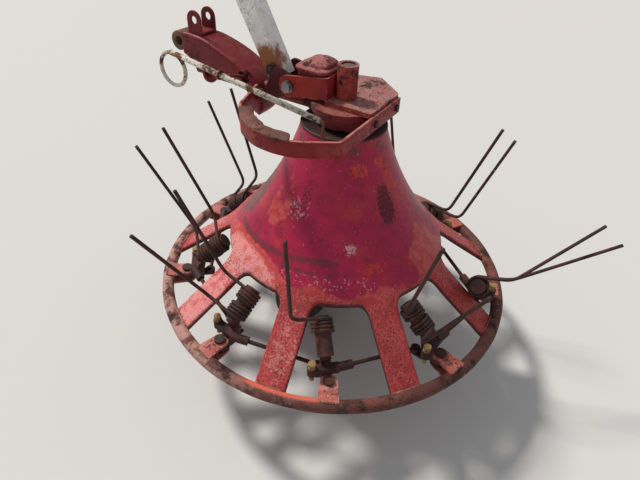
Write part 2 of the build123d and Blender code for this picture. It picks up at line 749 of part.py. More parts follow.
def arm_ears():
    """Pair of ears on the arm's top near the hinge."""
    x, z = EAR_CENTRE
    foot = HINGE_Z + 20
    side = Pos(x, z) * Circle(EAR_R) + Pos(x, (z + foot) / 2) * Rectangle(EAR_R * 2, z - foot)
    side -= Pos(x, z) * Circle(EAR_HOLE_R)
    plate = extrude(Plane.XZ * side, EAR_T)
    ears = Pos(0, EAR_INSIDE + EAR_T, 0) * plate + Pos(0, -EAR_INSIDE, 0) * plate
    ears += slab((x - EAR_R, x + EAR_R), (-EAR_INSIDE - 1, EAR_INSIDE + 1), (foot + 6, foot + 12))
    return ears - arm_solid(SEAT / 3)


def arm_gusset():
    """Two cheek plates on the arm's end, reaching between the strap's legs."""
    outer = STRAP_INSIDE - SEAT
    cheek = side_plate(CHEEK_OUTLINE, -CHEEK_T, 0)
    pair = Pos(0, outer, 0) * cheek + Pos(0, -outer + CHEEK_T, 0) * cheek
    pair -= rod((BOLT_X, -99, BOLT_Z), (BOLT_X, 99, BOLT_Z), BOLT_R + SLIDE)
    foot_x, foot_z = STRUT_FOOT
    pair -= rod((foot_x, -99, foot_z), (foot_x, 99, foot_z), STRUT_PIN_R + SLIDE)
    back = slab(CHEEK_BACK_X, (-outer, outer), CHEEK_BACK_Z)
    back -= rod((CHEEK_BACK_X[0], 0, DRIVE_AXIS_Z), (0, 0, DRIVE_AXIS_Z), DRIVE_R + SLIDE)
    return pair + back - arm_solid(SEAT / 3)


def strut_end():
    """Centre of the eye at the strut's upper end."""
    lean = math.radians(STRUT_LEAN)
    return (
        STRUT_FOOT[0] - STRUT_LENGTH * math.sin(lean),
        STRUT_FOOT[1] + STRUT_LENGTH * math.cos(lean),
    )


def brace_strut():
    """Square tube that rises to the left from the gusset to a bored eye."""
    foot_x, foot_z = STRUT_FOOT
    end_x, end_z = strut_end()
    along = Vector(end_x - foot_x, 0, end_z - foot_z).normalized()
    start = Vector(foot_x, 0, foot_z) - along * STRUT_W / 2
    plane = Plane(origin=start, z_dir=along, x_dir=(0, 1, 0))
    length = STRUT_LENGTH + STRUT_W / 2 - STRUT_EYE_R / 2
    tube = extrude(plane * Rectangle(STRUT_W, STRUT_W), length)
    hollow = plane * Rectangle(STRUT_W - 2 * STRUT_WALL, STRUT_W - 2 * STRUT_WALL)
    tube -= extrude(hollow, length - STRUT_WALL)
    half = STRUT_EYE_W / 2
    tube += rod((end_x, -half, end_z), (end_x, half, end_z), STRUT_EYE_R)
    tube -= rod((end_x, -half, end_z), (end_x, half, end_z), EAR_HOLE_R)
    return tube - rod((foot_x, -99, foot_z), (foot_x, 99, foot_z), STRUT_PIN_R + SLIDE)


def strut_pin():
    """Pin with two spacers that holds the strut's foot between the gusset's cheeks."""
    x, z = STRUT_FOOT
    reach = STRAP_INSIDE - SEAT
    pin = rod((x, -reach, z), (x, reach, z), STRUT_PIN_R)
    near, far = STRUT_W / 2 + SEAT, reach - CHEEK_T - SEAT
    for side in (-1, 1):
        pin += rod((x, side * near, z), (x, side * far, z), STRUT_PIN_R + 6)
    return pin


def drive_tube():
    """Tube of the drive shaft up to the gear housing's left side, with the shaft's end bare."""
    start, end = HANGER_X - DRIVE_COLLAR, -HOUSING_WAIST_R - 1
    tube = rod((start, 0, DRIVE_AXIS_Z), (end, 0, DRIVE_AXIS_Z), DRIVE_R)
    bare = start - DRIVE_STUB
    return tube + rod((bare, 0, DRIVE_AXIS_Z), (start, 0, DRIVE_AXIS_Z), DRIVE_STUB_R)


def drive_hanger():
    """Plate inside the arm that holds the drive tube's inner end."""
    share = (HANGER_X - HINGE_X - 40) / (ARM_TAPER_X - HINGE_X - 40)
    half = BARREL_LENGTH / 2 - ARM_WALL + share * (ARM_HALF_W - BARREL_LENGTH / 2) - 1
    plate = slab((HANGER_X, HANGER_X + HANGER_T), (-half, half), (DRIVE_AXIS_Z, HINGE_Z + 17))
    plate += rod((HANGER_X, 0, DRIVE_AXIS_Z), (HANGER_X + HANGER_T, 0, DRIVE_AXIS_Z), half)
    return plate - rod((HANGER_X, 0, DRIVE_AXIS_Z), (0, 0, DRIVE_AXIS_Z), DRIVE_R + SLIDE)


def rod_line():
    """Ends of the lever rod's straight part and the direction from its tip to its neck."""
    tip, neck = Vector(*ROD_TIP), Vector(*ROD_NECK)
    return tip, neck, (neck - tip).normalized()


def lever_rod():
    """Rod with a thin hook at its tip over the guard bow and a hand loop at its inner end."""
    tip, neck, along = rod_line()
    turn = tip - along * HOOK_REACH
    wire = FilletPolyline(tip + along * 20, turn, turn - Vector(0, 0, HOOK_DROP), radius=HOOK_REACH / 2)
    hook = sweep(Plane(origin=wire @ 0, z_dir=wire % 0) * Circle(HOOK_R), path=wire)
    centre = neck + along * LOOP_W / 2 - Vector(0, 0, LOOP_H / 2)
    loop_plane = Plane(origin=centre, x_dir=along, z_dir=along.cross(Vector(0, 0, 1)))
    loop_path = (loop_plane * Ellipse(LOOP_W / 2, LOOP_H / 2)).wire()
    loop = sweep(Plane(origin=loop_path @ 0, z_dir=loop_path % 0) * Circle(LOOP_R), path=loop_path)
    end = neck + along * LOOP_W / 2
    return rod(tip, end, ROD_R) + hook + loop


def rod_guide():
    """Small bracket from the arm's rear side with an eye round the lever rod."""
    tip, _, along = rod_line()
    centre = tip + along * ((GUIDE_X - tip.X) / along.X)
    half = GUIDE_T / 2
    level = (centre.Z - half, centre.Z + half)
    shelf_x = (GUIDE_X - 15, GUIDE_X + 15)
    guide = slab(shelf_x, (centre.Y, -ARM_HALF_W - SEAT), level)
    foot = (-ARM_HALF_W - SEAT - GUIDE_T, -ARM_HALF_W - SEAT)
    guide += slab(shelf_x, foot, (GUIDE_FOOT_Z, level[1]))
    eye = 9
    guide += rod((GUIDE_X - eye, centre.Y, centre.Z), (GUIDE_X + eye, centre.Y, centre.Z), GUIDE_EYE_R)
    return guide - rod(tip, centre + along * 99, ROD_R + SLIDE)


# Support wheel group


def wheel_stem():
    """Round stem from the crank up through the hollow hub and the housing to the sleeve."""
    stem = upright(STEM_R, 0, 0, AXLE_Z - CRANK_HALF, STEM_TOP_Z)
    return stem - stem_cross_hole()


def axle_crank():
    """Forged foot under the stem that carries the stub axle before it."""
    low, high = AXLE_Z - CRANK_HALF, AXLE_Z + CRANK_HALF
    crank = slab((-CRANK_HALF, CRANK_HALF), (0, AXLE_Y), (low, high))
    crank += upright(STEM_R + 7, 0, 0, low, high + 8)
    crank += rod((-CRANK_HALF, AXLE_Y, AXLE_Z), (CRANK_HALF, AXLE_Y, AXLE_Z), CRANK_HALF)
    end = WHEEL_X - WHEEL_HUB_HALF
    crank += rod((end - 10, AXLE_Y, AXLE_Z), (0, AXLE_Y, AXLE_Z), AXLE_R)
    crank += rod((end - 5, AXLE_Y, AXLE_Z), (end - 1, AXLE_Y, AXLE_Z), AXLE_R + 6)
    return crank - upright(STEM_R + SLIDE, 0, 0, low - 1, high + 9)


def about_axle(points):
    """Solid of revolution about the wheel's axle from points of offset and radius."""
    section = make_face(Polyline(*points, close=True))
    turned_solid = revolve(Plane.XZ * section, Axis.X)
    return Pos(WHEEL_X, AXLE_Y, AXLE_Z) * turned_solid


def wheel_hub():
    """Hub tube on the stub axle."""
    half = WHEEL_HUB_HALF
    bore = AXLE_R + RUNNING
    return about_axle([(-half, bore), (half, bore), (half, WHEEL_HUB_R), (-half, WHEEL_HUB_R)])


def wheel_rim():
    """Pressed rim with its disc, seated on the hub."""
    half, wall = RIM_W / 2, RIM_T_WALL
    seat = RIM_SEAT_R
    rim = about_axle([(-half, seat - wall), (half, seat - wall), (half, seat), (-half, seat)])
    for side in (-1, 1):
        low, high = sorted((side * half, side * (half - wall)))
        flange = [(low, seat - wall), (high, seat - wall), (high, RIM_FLANGE_R), (low, RIM_FLANGE_R)]
        rim += about_axle(flange)
    rim += about_axle([(-2, WHEEL_HUB_R), (2, WHEEL_HUB_R), (2, seat - 1), (-2, seat - 1)])
    return rim


def tyre():
    """Plain tyre with round shoulders; its beads sit between the rim's flanges."""
    half = TYRE_W / 2
    bead = RIM_W / 2 - RIM_T_WALL - SEAT
    low = RIM_SEAT_R + SEAT / 3
    side_r = (TYRE_R + RIM_FLANGE_R) / 2
    edges = [
        Line((-bead, low), (bead, low)),
        Line((bead, low), (bead, RIM_FLANGE_R + 2)),
        ThreePointArc((bead, RIM_FLANGE_R + 2), (half, side_r), (half - 8, TYRE_R - 16)),
        ThreePointArc((half - 8, TYRE_R - 16), (half - 14, TYRE_R - 6), (half - 24, TYRE_R - 2)),
        ThreePointArc((half - 24, TYRE_R - 2), (0, TYRE_R), (24 - half, TYRE_R - 2)),
        ThreePointArc((24 - half, TYRE_R - 2), (14 - half, TYRE_R - 6), (8 - half, TYRE_R - 16)),
        ThreePointArc((8 - half, TYRE_R - 16), (-half, side_r), (-bead, RIM_FLANGE_R + 2)),
        Line((-bead, RIM_FLANGE_R + 2), (-bead, low)),
    ]
    solid = revolve(Plane.XZ * make_face(edges), Axis.X)
    return Pos(WHEEL_X, AXLE_Y, AXLE_Z) * solid


def all_pieces():
    """Every node by name, drawn about the rotor axis."""
    pieces = {
        "rotor_bell": rotor_bell(),
        "rotor_ring": Compound(children=rotor_ring()),
        "ring_lugs": Compound(children=ring_lugs()),
        "rotor_hub": rotor_hub(),
        "pivot_pins": Compound(children=pivot_pins()),
        "adjuster_pins": Compound(children=adjuster_pins()),
        "link_rods": Compound(children=link_rods()),
        "gear_housing": gear_housing(),
        "housing_cover": housing_cover(),
        "input_housing": input_housing(),
        "clevis_strap": clevis_strap(),
        "clevis_bolt": clevis_bolt(),
        "guard_bow": guard_bow(),
        "bow_bolts": Compound(children=bow_bolts()),
        "carrier_arm": carrier_arm(),
        "hinge_barrel": hinge_barrel(),
        "arm_ears": arm_ears(),
        "arm_gusset": arm_gusset(),
        "brace_strut": brace_strut(),
        "strut_pin": strut_pin(),
        "drive_tube": drive_tube(),
        "drive_hanger": drive_hanger(),
        "lever_rod": lever_rod(),
        "rod_guide": rod_guide(),
        "wheel_stem": wheel_stem(),
        "axle_crank": axle_crank(),
        "wheel_hub": wheel_hub(),
        "wheel_rim": wheel_rim(),
        "tyre": tyre(),
    }
    for index in range(TINE_ARMS):
        pieces[f"tine_holder_{index + 1}"] = turned(tine_holder(index), index)
        pieces[f"spring_tines_{index + 1}"] = turned(spring_tines(index), index)
    return pieces


os.makedirs("parts", exist_ok=True)
for node, shape in all_pieces().items():
    export_step(FRAME_ORIGIN * shape, f"parts/{node}.step")
    print(node, round(shape.volume / 1000, 1), "cm3")
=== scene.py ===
# %% [markdown]
# # A worn rotor unit of a hay tedder
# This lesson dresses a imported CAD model: one turning rotor with its tine arms, the gear housing on
# top of it, the arm that carries it and its support wheel.
# The CAD nodes give the true sizes, so they stay wherever their shape is right and only get paint.
# The pressed bell, the bent ring, the folded arm, the rough gear casting and the wound springs are
# made again here, because their rolled lips, waves and open coils are what catches the eye.

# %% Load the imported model
import math

import bmesh
import bpy
import numpy as np
from mathutils import Matrix, Vector


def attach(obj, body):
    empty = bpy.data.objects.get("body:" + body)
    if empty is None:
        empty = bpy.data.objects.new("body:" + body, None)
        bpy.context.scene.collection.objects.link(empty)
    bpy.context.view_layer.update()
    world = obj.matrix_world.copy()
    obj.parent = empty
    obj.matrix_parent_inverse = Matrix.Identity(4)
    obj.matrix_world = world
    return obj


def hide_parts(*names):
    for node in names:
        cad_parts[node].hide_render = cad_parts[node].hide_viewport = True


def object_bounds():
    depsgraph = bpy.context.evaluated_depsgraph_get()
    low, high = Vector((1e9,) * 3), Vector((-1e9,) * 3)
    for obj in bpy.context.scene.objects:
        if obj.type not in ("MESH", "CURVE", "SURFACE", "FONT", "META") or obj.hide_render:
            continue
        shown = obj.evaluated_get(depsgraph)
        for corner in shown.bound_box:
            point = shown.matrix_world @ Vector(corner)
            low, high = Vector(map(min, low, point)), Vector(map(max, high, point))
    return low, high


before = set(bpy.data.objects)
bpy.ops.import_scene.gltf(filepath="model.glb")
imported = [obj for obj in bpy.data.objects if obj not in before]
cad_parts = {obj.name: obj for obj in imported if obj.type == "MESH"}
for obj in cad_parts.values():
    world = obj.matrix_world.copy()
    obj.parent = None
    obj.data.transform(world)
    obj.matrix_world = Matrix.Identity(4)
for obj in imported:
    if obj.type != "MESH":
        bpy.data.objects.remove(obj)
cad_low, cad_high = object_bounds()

# %% [markdown]
# ## Where things are
# The rotor turns about an upright axis. Shapes of the rotor are easiest to write about that axis,
# with height 0 at the middle of the ring, in millimetres. One function carries them to the model's
# own frame in metres, so each formula stays readable.

# %% The rotor's axis and the tine arms' places
AXIS = np.array([0.52, 0.0, -0.6])
ARMS = 9
PITCH = math.radians(360 / ARMS)
SPOKE_TURN = math.radians(2.5)
ARM_LAG = math.radians(3.0)


def placed(points, turn=0.0):
    """Points in millimetres about the rotor's axis, turned about it and moved to the model in metres."""
    points = np.asarray(points, float)
    c, s = math.cos(turn), math.sin(turn)
    x = points[..., 0] * c - points[..., 1] * s
    y = points[..., 0] * s + points[..., 1] * c
    return np.stack([x, y, points[..., 2]], -1) / 1000 + AXIS


arm_turns = [SPOKE_TURN + PITCH * (i + 0.5) - ARM_LAG for i in range(ARMS)]
print("tine arms at", [round(math.degrees(t), 1) for t in arm_turns], "degrees")

# %% [markdown]
# ## The camera
# The photograph looks down at the rotor from behind and from the machine's right. A camera could be
# aimed by a constraint, but the photograph is tilted a little, so its three axes are worked out
# from a heading, a pitch and a roll and written straight into its matrix.

# %% Put the camera at the photograph's viewpoint
HEADING, CAMERA_PITCH, ROLL = math.radians(30.24), math.radians(39.1), math.radians(3.03)
CAMERA_PLACE = (1.068, -1.031, 0.446)
LENS_MM = 27.56
forward = np.array([
    -math.sin(HEADING) * math.cos(CAMERA_PITCH),
    math.cos(HEADING) * math.cos(CAMERA_PITCH),
    -math.sin(CAMERA_PITCH),
])
level = np.array([math.cos(HEADING), math.sin(HEADING), 0.0])
right = level * math.cos(ROLL) + np.cross(level, forward) * math.sin(ROLL)
up = np.cross(right, forward)

camera_data = bpy.data.cameras.new("camera")
camera_data.sensor_width = 36.0
camera_data.lens = LENS_MM
camera = bpy.data.objects.new("camera", camera_data)
bpy.context.scene.collection.objects.link(camera)
camera.matrix_world = Matrix(
    [[right[i], up[i], -forward[i], place] for i, place in enumerate(CAMERA_PLACE)]
    + [[0, 0, 0, 1]]
)
bpy.context.scene.camera = camera
print("camera looks along", forward.round(3))

# %% [markdown]
# ## Floor and light
# A plain pale floor lets the rust and the faded red speak. The lamp is a broad, soft sun from the
# machine's left, where the photograph's sun stands, and the world fills the shadows. Together they
# light a level surface at about one, so a colour renders nearly as it is written.

# %% Make a floor under the tyre
FLOOR_HEIGHT = cad_low.z - 0.001
FLOOR_HALF = 9.0
SQUARE = ((-1, -1), (1, -1), (1, 1), (-1, 1))
floor_mesh = bpy.data.meshes.new("floor")
floor_mesh.from_pydata([(x * FLOOR_HALF, y * FLOOR_HALF, FLOOR_HEIGHT) for x, y in SQUARE], [], [(0, 1, 2, 3)])
floor = bpy.data.objects.new("floor", floor_mesh)
bpy.context.scene.collection.objects.link(floor)
floor_paint = bpy.data.materials.new("pale_floor")
floor_paint.use_nodes = True
floor_shader = floor_paint.node_tree.nodes["Principled BSDF"]
floor_shader.inputs["Base Color"].default_value = (0.62, 0.61, 0.59, 1)
floor_shader.inputs["Roughness"].default_value = 0.9
floor_mesh.materials.append(floor_paint)
print("floor at", round(FLOOR_HEIGHT, 3))

# %% Light it softly
world = bpy.data.worlds.new("sky")
bpy.context.scene.world = world
world.use_nodes = True
background = world.node_tree.nodes["Background"]
background.inputs["Color"].default_value = (0.93, 0.96, 1.0, 1)
background.inputs["Strength"].default_value = 0.42
bpy.context.scene.view_settings.view_transform = "Standard"

SUN_TRAVEL = Vector((0.62, -0.05, -0.78))
sun_data = bpy.data.lights.new("soft_sun", "SUN")
sun_data.energy = 3.1
sun_data.angle = math.radians(9)
sun_data.color = (1.0, 0.97, 0.92)
sun = bpy.data.objects.new("soft_sun", sun_data)
bpy.context.scene.collection.objects.link(sun)
sun.rotation_mode = "QUATERNION"
sun.rotation_quaternion = SUN_TRAVEL.to_track_quat("-Z", "Y")
print("sun travels along", tuple(round(v, 2) for v in SUN_TRAVEL.normalized()))

# %% [markdown]
# ## Finishes
# Paint on a machine that lives outdoors has layers: the colour itself, places where the sun has
# faded it, pits where rust breaks through, pale flecks, and edges rubbed down to brown metal. Image
# textures could hold all that, but noise patterns at the right sizes do it for every side at once
# and keep their scale. A small helper makes a node and plugs its sockets, so a finish reads as
# a list of layers. All helpers work on the node tree of the material that was made last.

# %% Helpers that build node patterns
def shader(name):
    """A new material; from here on the helpers work on its tree."""
    global tree
    material = bpy.data.materials.new(name)
    material.use_nodes = True
    tree = material.node_tree
    return material


def plug(socket, value):
    """Link a socket to another node's output, or give it a plain value."""
    if isinstance(value, bpy.types.NodeSocket):
        tree.links.new(value, socket)
    elif isinstance(value, tuple) and len(value) == 3 and socket.type == "RGBA":
        socket.default_value = (*value, 1)
    else:
        socket.default_value = value


def add(kind, inputs=None, **settings):
    """A node of some kind with its settings and its inputs, by name or by number."""
    made = tree.nodes.new(kind)
    for key, value in settings.items():
        setattr(made, key, value)
    for key, value in (inputs or {}).items():
        plug(made.inputs[key], value)
    return made


def here():
    """The point's own place on the piece, in metres."""
    return add("ShaderNodeTexCoord").outputs["Object"]


def noise(scale, detail=4.0, roughness=0.55, offset=0.0):
    """Cloudy pattern from 0 to 1 with about `scale` clouds to the metre, its place moved by the offset."""
    moved = add("ShaderNodeMapping", {0: here(), 1: (offset, offset, offset)}).outputs[0]
    sockets = {"Vector": moved, "Scale": scale, "Detail": detail, "Roughness": roughness}
    return add("ShaderNodeTexNoise", sockets).outputs[0]


def spots(pattern, low, high):
    """0 below low, 1 above high, smooth between; the other way round where low is the greater."""
    sockets = {0: pattern, 1: low, 2: high, 3: 0.0, 4: 1.0}
    return add("ShaderNodeMapRange", sockets, interpolation_type="SMOOTHSTEP").outputs[0]


def ranged(pattern, low, high, first, last):
    """A pattern stretched in a straight line, so that low becomes first and high becomes last."""
    return add("ShaderNodeMapRange", {0: pattern, 1: low, 2: high, 3: first, 4: last}).outputs[0]


def reckon(operation, a, b, **settings):
    """One sum on two patterns or numbers."""
    return add("ShaderNodeMath", {0: a, 1: b}, operation=operation, **settings).outputs[0]


def times(a, b):
    """Product of two patterns, held between 0 and 1."""
    return reckon("MULTIPLY", a, b, use_clamp=True)


def either(a, b):
    """The stronger of two patterns."""
    return reckon("MAXIMUM", a, b)


def measured(operation, output, first, *second):
    """A number or vector worked out from one or two vectors."""
    sockets = dict(enumerate((first, *second)))
    return add("ShaderNodeVectorMath", sockets, operation=operation).outputs[output]


def parts_of(vector):
    """The x, y and z of a vector."""
    return add("ShaderNodeSeparateXYZ", {0: vector}).outputs


def over(below, above, mask):
    """One colour laid over another where the mask says."""
    return add("ShaderNodeMix", {0: mask, 6: below, 7: above}, data_type="RGBA").outputs[2]


def layered(colour, *layers):
    """Layers laid over a colour one after another, each a tone and its mask."""
    for tone, mask in layers:
        colour = over(colour, tone, mask)
    return colour


def worn_edges(width=0.004, strength=7.0):
    """Near 1 at corners: there a rounded normal turns away from the true one."""
    rounded = add("ShaderNodeBevel", {0: width}, samples=4).outputs[0]
    true = add("ShaderNodeNewGeometry").outputs["Normal"]
    agree = measured("DOT_PRODUCT", 1, rounded, true)
    return times(reckon("SUBTRACT", 1.0, agree), strength)


def facing_up(low=0.45, high=0.85):
    """1 where the piece faces the sky, by its own normal, 0 on its sides."""
    normal = add("ShaderNodeTexCoord").outputs["Normal"]
    return spots(parts_of(normal)[2], low, high)


def near(centre, reach, ragged=0.8):
    """1 close to a place of the model, 0 beyond its reach, with a ragged border between."""
    apart = measured("DISTANCE", 1, here(), centre)
    waver = reckon("MULTIPLY", noise(60.0), reach * ragged)
    return spots(reckon("ADD", apart, waver), reach * 1.3, reach * 0.9)


def along_x(low, high):
    """0 to 1 between two places along the arm, measured from the hinge in metres."""
    return spots(parts_of(here())[0], low, high)


def from_axis():
    """Distance from the rotor's axis and height above the ring's middle, in metres."""
    x, y, z = parts_of(measured("SUBTRACT", 0, here(), tuple(AXIS)))
    flat = add("ShaderNodeCombineXYZ", {0: x, 1: y}).outputs[0]
    return measured("LENGTH", 1, flat), z


def coat(material, sockets, height, distance, strength):
    """Fill the sockets of the Principled shader, raise its skin by a height pattern, in metres."""
    bump = add("ShaderNodeBump", {"Strength": strength, "Distance": distance, "Height": height})
    surface = material.node_tree.nodes["Principled BSDF"]
    for name, value in {**sockets, "Normal": bump.outputs[0]}.items():
        plug(surface.inputs[name], value)
    return material


# %% [markdown]
# Red paint is the base of most pieces. The same layers serve all of them, from the bell that is
# still bright to the castings that are nearly brown, so one function takes the colours and how far
# each kind of wear has gone.

# %% Worn red paint
def worn_paint(name, paint, faded, rust, pale, wear, roughness, sky=None, marks=()):
    """Paint that fades in clouds, rusts in pits and blotches, is flecked pale and bare at its edges.

    Wear says from 0 to 1 how far rust, flecks and bare edges have spread, sky gives the tone and
    share of dust on what faces up, and marks are tones with the function that makes each mask.
    """
    rust_share, fleck_share, edge_share = wear
    material = shader(name)
    mottle = noise(38.0, 6.0, 0.65, offset=3.1)
    layers = [
        (faded, spots(noise(6.0, 5.0, 0.6), 0.44, 0.66)),
        (tuple(c * 0.55 for c in paint), times(spots(mottle, 0.45, 0.72), 0.7)),
    ]
    if sky:
        tone, share = sky
        dust = noise(26.0, 6.0, 0.7, offset=6.2)
        layers.append((tone, times(facing_up(), spots(dust, 0.62 - share * 0.4, 0.74 - share * 0.3))))
    blotch = noise(13.0, 8.0, 0.72, offset=7.7)
    pits = noise(190.0, 4.0, 0.6, offset=1.3)
    level = 0.72 - rust_share * 0.30
    rusty = either(
        spots(blotch, level, level + 0.05),
        times(spots(pits, 0.56, 0.62), spots(blotch, level - 0.22, level)),
    )
    spread = fleck_share * 0.3
    flecks = times(
        spots(noise(150.0, 5.0, 0.7, offset=5.0), 0.60, 0.64),
        spots(noise(7.0, 4.0, 0.6, offset=9.0), 0.70 - spread, 0.78 - spread),
    )
    rust_tone = over(rust, tuple(c * 0.35 for c in rust), spots(mottle, 0.4, 0.7))
    rubbed = noise(30.0, 5.0, 0.6, offset=2.0)
    edges = times(worn_edges(), spots(rubbed, 0.62 - edge_share * 0.4, 0.75))
    edge_tone = over(pale, rust_tone, spots(mottle, 0.40, 0.52))
    own_marks = [(tone, mask()) for tone, mask in marks]
    layers += [(pale, flecks), (rust_tone, rusty), *own_marks, (edge_tone, edges)]
    bare = either(rusty, edges)
    return coat(material, {
        "Base Color": layered(paint, *layers), "Specular IOR Level": 0.22,
        "Roughness": ranged(bare, 0.0, 1.0, roughness, 0.88),
    }, reckon("SUBTRACT", pits, times(bare, 0.8)), 0.0014, 0.5)


def ring_front():
    """The ring's inner upper side at the front, where fresher paint is left."""
    away, height = from_axis()
    inner = times(spots(away, 0.514, 0.506), spots(height, -0.004, 0.006))
    return times(inner, near((0.66, -0.48, -0.59), 0.12, 0.5))


def ring_sunlit_left():
    """The ring's left side, painted paler in patches: painted light where the sun falls from the left."""
    kept = spots(noise(16.0, 6.0, 0.7, offset=4.4), 0.44, 0.54)
    return times(kept, along_x(0.80, 0.30))


def strut_foot():
    """Round the foot of the strut."""
    return near((0.300, -0.025, 0.004), 0.062)


def rod_hook():
    """The lever rod's thin hook."""
    return along_x(0.537, 0.541)


casting_red = worn_paint(
    "casting_red", (0.150, 0.010, 0.013), (0.20, 0.020, 0.020), (0.060, 0.026, 0.020), (0.40, 0.17, 0.14),
    wear=(0.46, 0.3, 1.0), roughness=0.5, sky=((0.30, 0.090, 0.070), 0.75),
)
cover_red = worn_paint(
    "cover_red", (0.23, 0.022, 0.024), (0.46, 0.085, 0.055), (0.070, 0.030, 0.026), (0.62, 0.36, 0.30),
    wear=(0.52, 0.8, 1.0), roughness=0.6, sky=((0.33, 0.150, 0.135), 0.75),
)
hump_red = worn_paint(
    "hump_red", (0.22, 0.026, 0.028), (0.28, 0.055, 0.052), (0.075, 0.030, 0.026), (0.50, 0.26, 0.23),
    wear=(0.46, 0.9, 1.0), roughness=0.7, sky=((0.37, 0.120, 0.110), 0.9),
)
strap_red = worn_paint(
    "strap_red", (0.37, 0.032, 0.022), (0.29, 0.020, 0.022), (0.10, 0.042, 0.028), (0.60, 0.27, 0.20),
    wear=(0.24, 0.2, 1.0), roughness=0.45, sky=((0.46, 0.13, 0.10), 0.8),
)
arm_red = worn_paint(
    "arm_red", (0.165, 0.008, 0.013), (0.21, 0.016, 0.020), (0.080, 0.030, 0.024), (0.38, 0.13, 0.11),
    wear=(0.36, 0.3, 0.1), roughness=0.42, sky=((0.21, 0.036, 0.040), 0.4),
)
# The cheek plates carry the arm's red made much darker, as painted shade between the arm and the strap.
shaded_gusset_red = worn_paint(
    "shaded_gusset_red", (0.085, 0.010, 0.016), (0.12, 0.014, 0.018), (0.050, 0.024, 0.022), (0.30, 0.12, 0.11),
    wear=(0.42, 0.2, 0.6), roughness=0.45,
)
bow_red = worn_paint(
    "bow_red", (0.23, 0.016, 0.021), (0.31, 0.036, 0.038), (0.085, 0.036, 0.026), (0.56, 0.24, 0.19),
    wear=(0.44, 0.5, 1.0), roughness=0.5, sky=((0.52, 0.18, 0.14), 0.8),
)
strip_rust = worn_paint(
    "strip_rust", (0.150, 0.062, 0.048), (0.26, 0.100, 0.066), (0.085, 0.036, 0.026), (0.42, 0.24, 0.19),
    wear=(0.42, 0.5, 1.0), roughness=0.7,
)
ring_brown = worn_paint(
    "ring_brown", (0.135, 0.050, 0.040), (0.20, 0.060, 0.050), (0.070, 0.036, 0.030), (0.36, 0.22, 0.17),
    wear=(0.62, 0.6, 1.0), roughness=0.7,
    # The pale mark on the ring's left side is painted light.
    marks=[((0.46, 0.25, 0.21), ring_sunlit_left), ((0.64, 0.13, 0.085), ring_front)],
)
lug_red = worn_paint(
    "lug_red", (0.46, 0.115, 0.095), (0.60, 0.28, 0.24), (0.14, 0.060, 0.045), (0.66, 0.48, 0.40),
    wear=(0.50, 0.8, 1.0), roughness=0.6,
)
wheel_red = worn_paint(
    "wheel_red", (0.22, 0.018, 0.022), (0.30, 0.05, 0.05), (0.10, 0.042, 0.030), (0.40, 0.30, 0.28),
    wear=(0.40, 0.3, 1.0), roughness=0.6,
)
strut_white = worn_paint(
    "strut_white", (0.90, 0.88, 0.83), (0.78, 0.77, 0.74), (0.50, 0.42, 0.36), (0.92, 0.91, 0.88),
    wear=(0.34, 0.9, 0.5), roughness=0.55, marks=[((0.30, 0.105, 0.040), strut_foot)],
)
rod_white = worn_paint(
    "rod_white", (0.66, 0.62, 0.54), (0.55, 0.49, 0.40), (0.19, 0.090, 0.048), (0.78, 0.75, 0.69),
    wear=(0.70, 0.6, 0.6), roughness=0.5, marks=[((0.15, 0.065, 0.045), rod_hook)],
)
print("worn paints:", len(bpy.data.materials) - 1)

# %% [markdown]
# The bell has the longest story. Its middle is still deep crimson, its foot and spokes have faded to
# coral with dark pits all over, chalky flecks lie in a band, and there are a few marks of its own: a
# dark oval, dark curved arcs, a pale scab. Such marks can't come from one noise, so each vertex of
# the sheet will carry numbers that say how much of each mark lies there, and this material reads them
# and breaks their borders up with noise.

# %% Paint of the bell
def carried(name):
    """A number that the mesh carries at each vertex."""
    return add("ShaderNodeAttribute", attribute_name=name).outputs["Fac"]


def broken(name, grain):
    """A carried share from 0 to 1 turned into a ragged patch that covers about that much."""
    level = ranged(carried(name), 0.0, 1.0, 0.78, 0.22)
    return spots(reckon("SUBTRACT", grain, level), -0.03, 0.05)


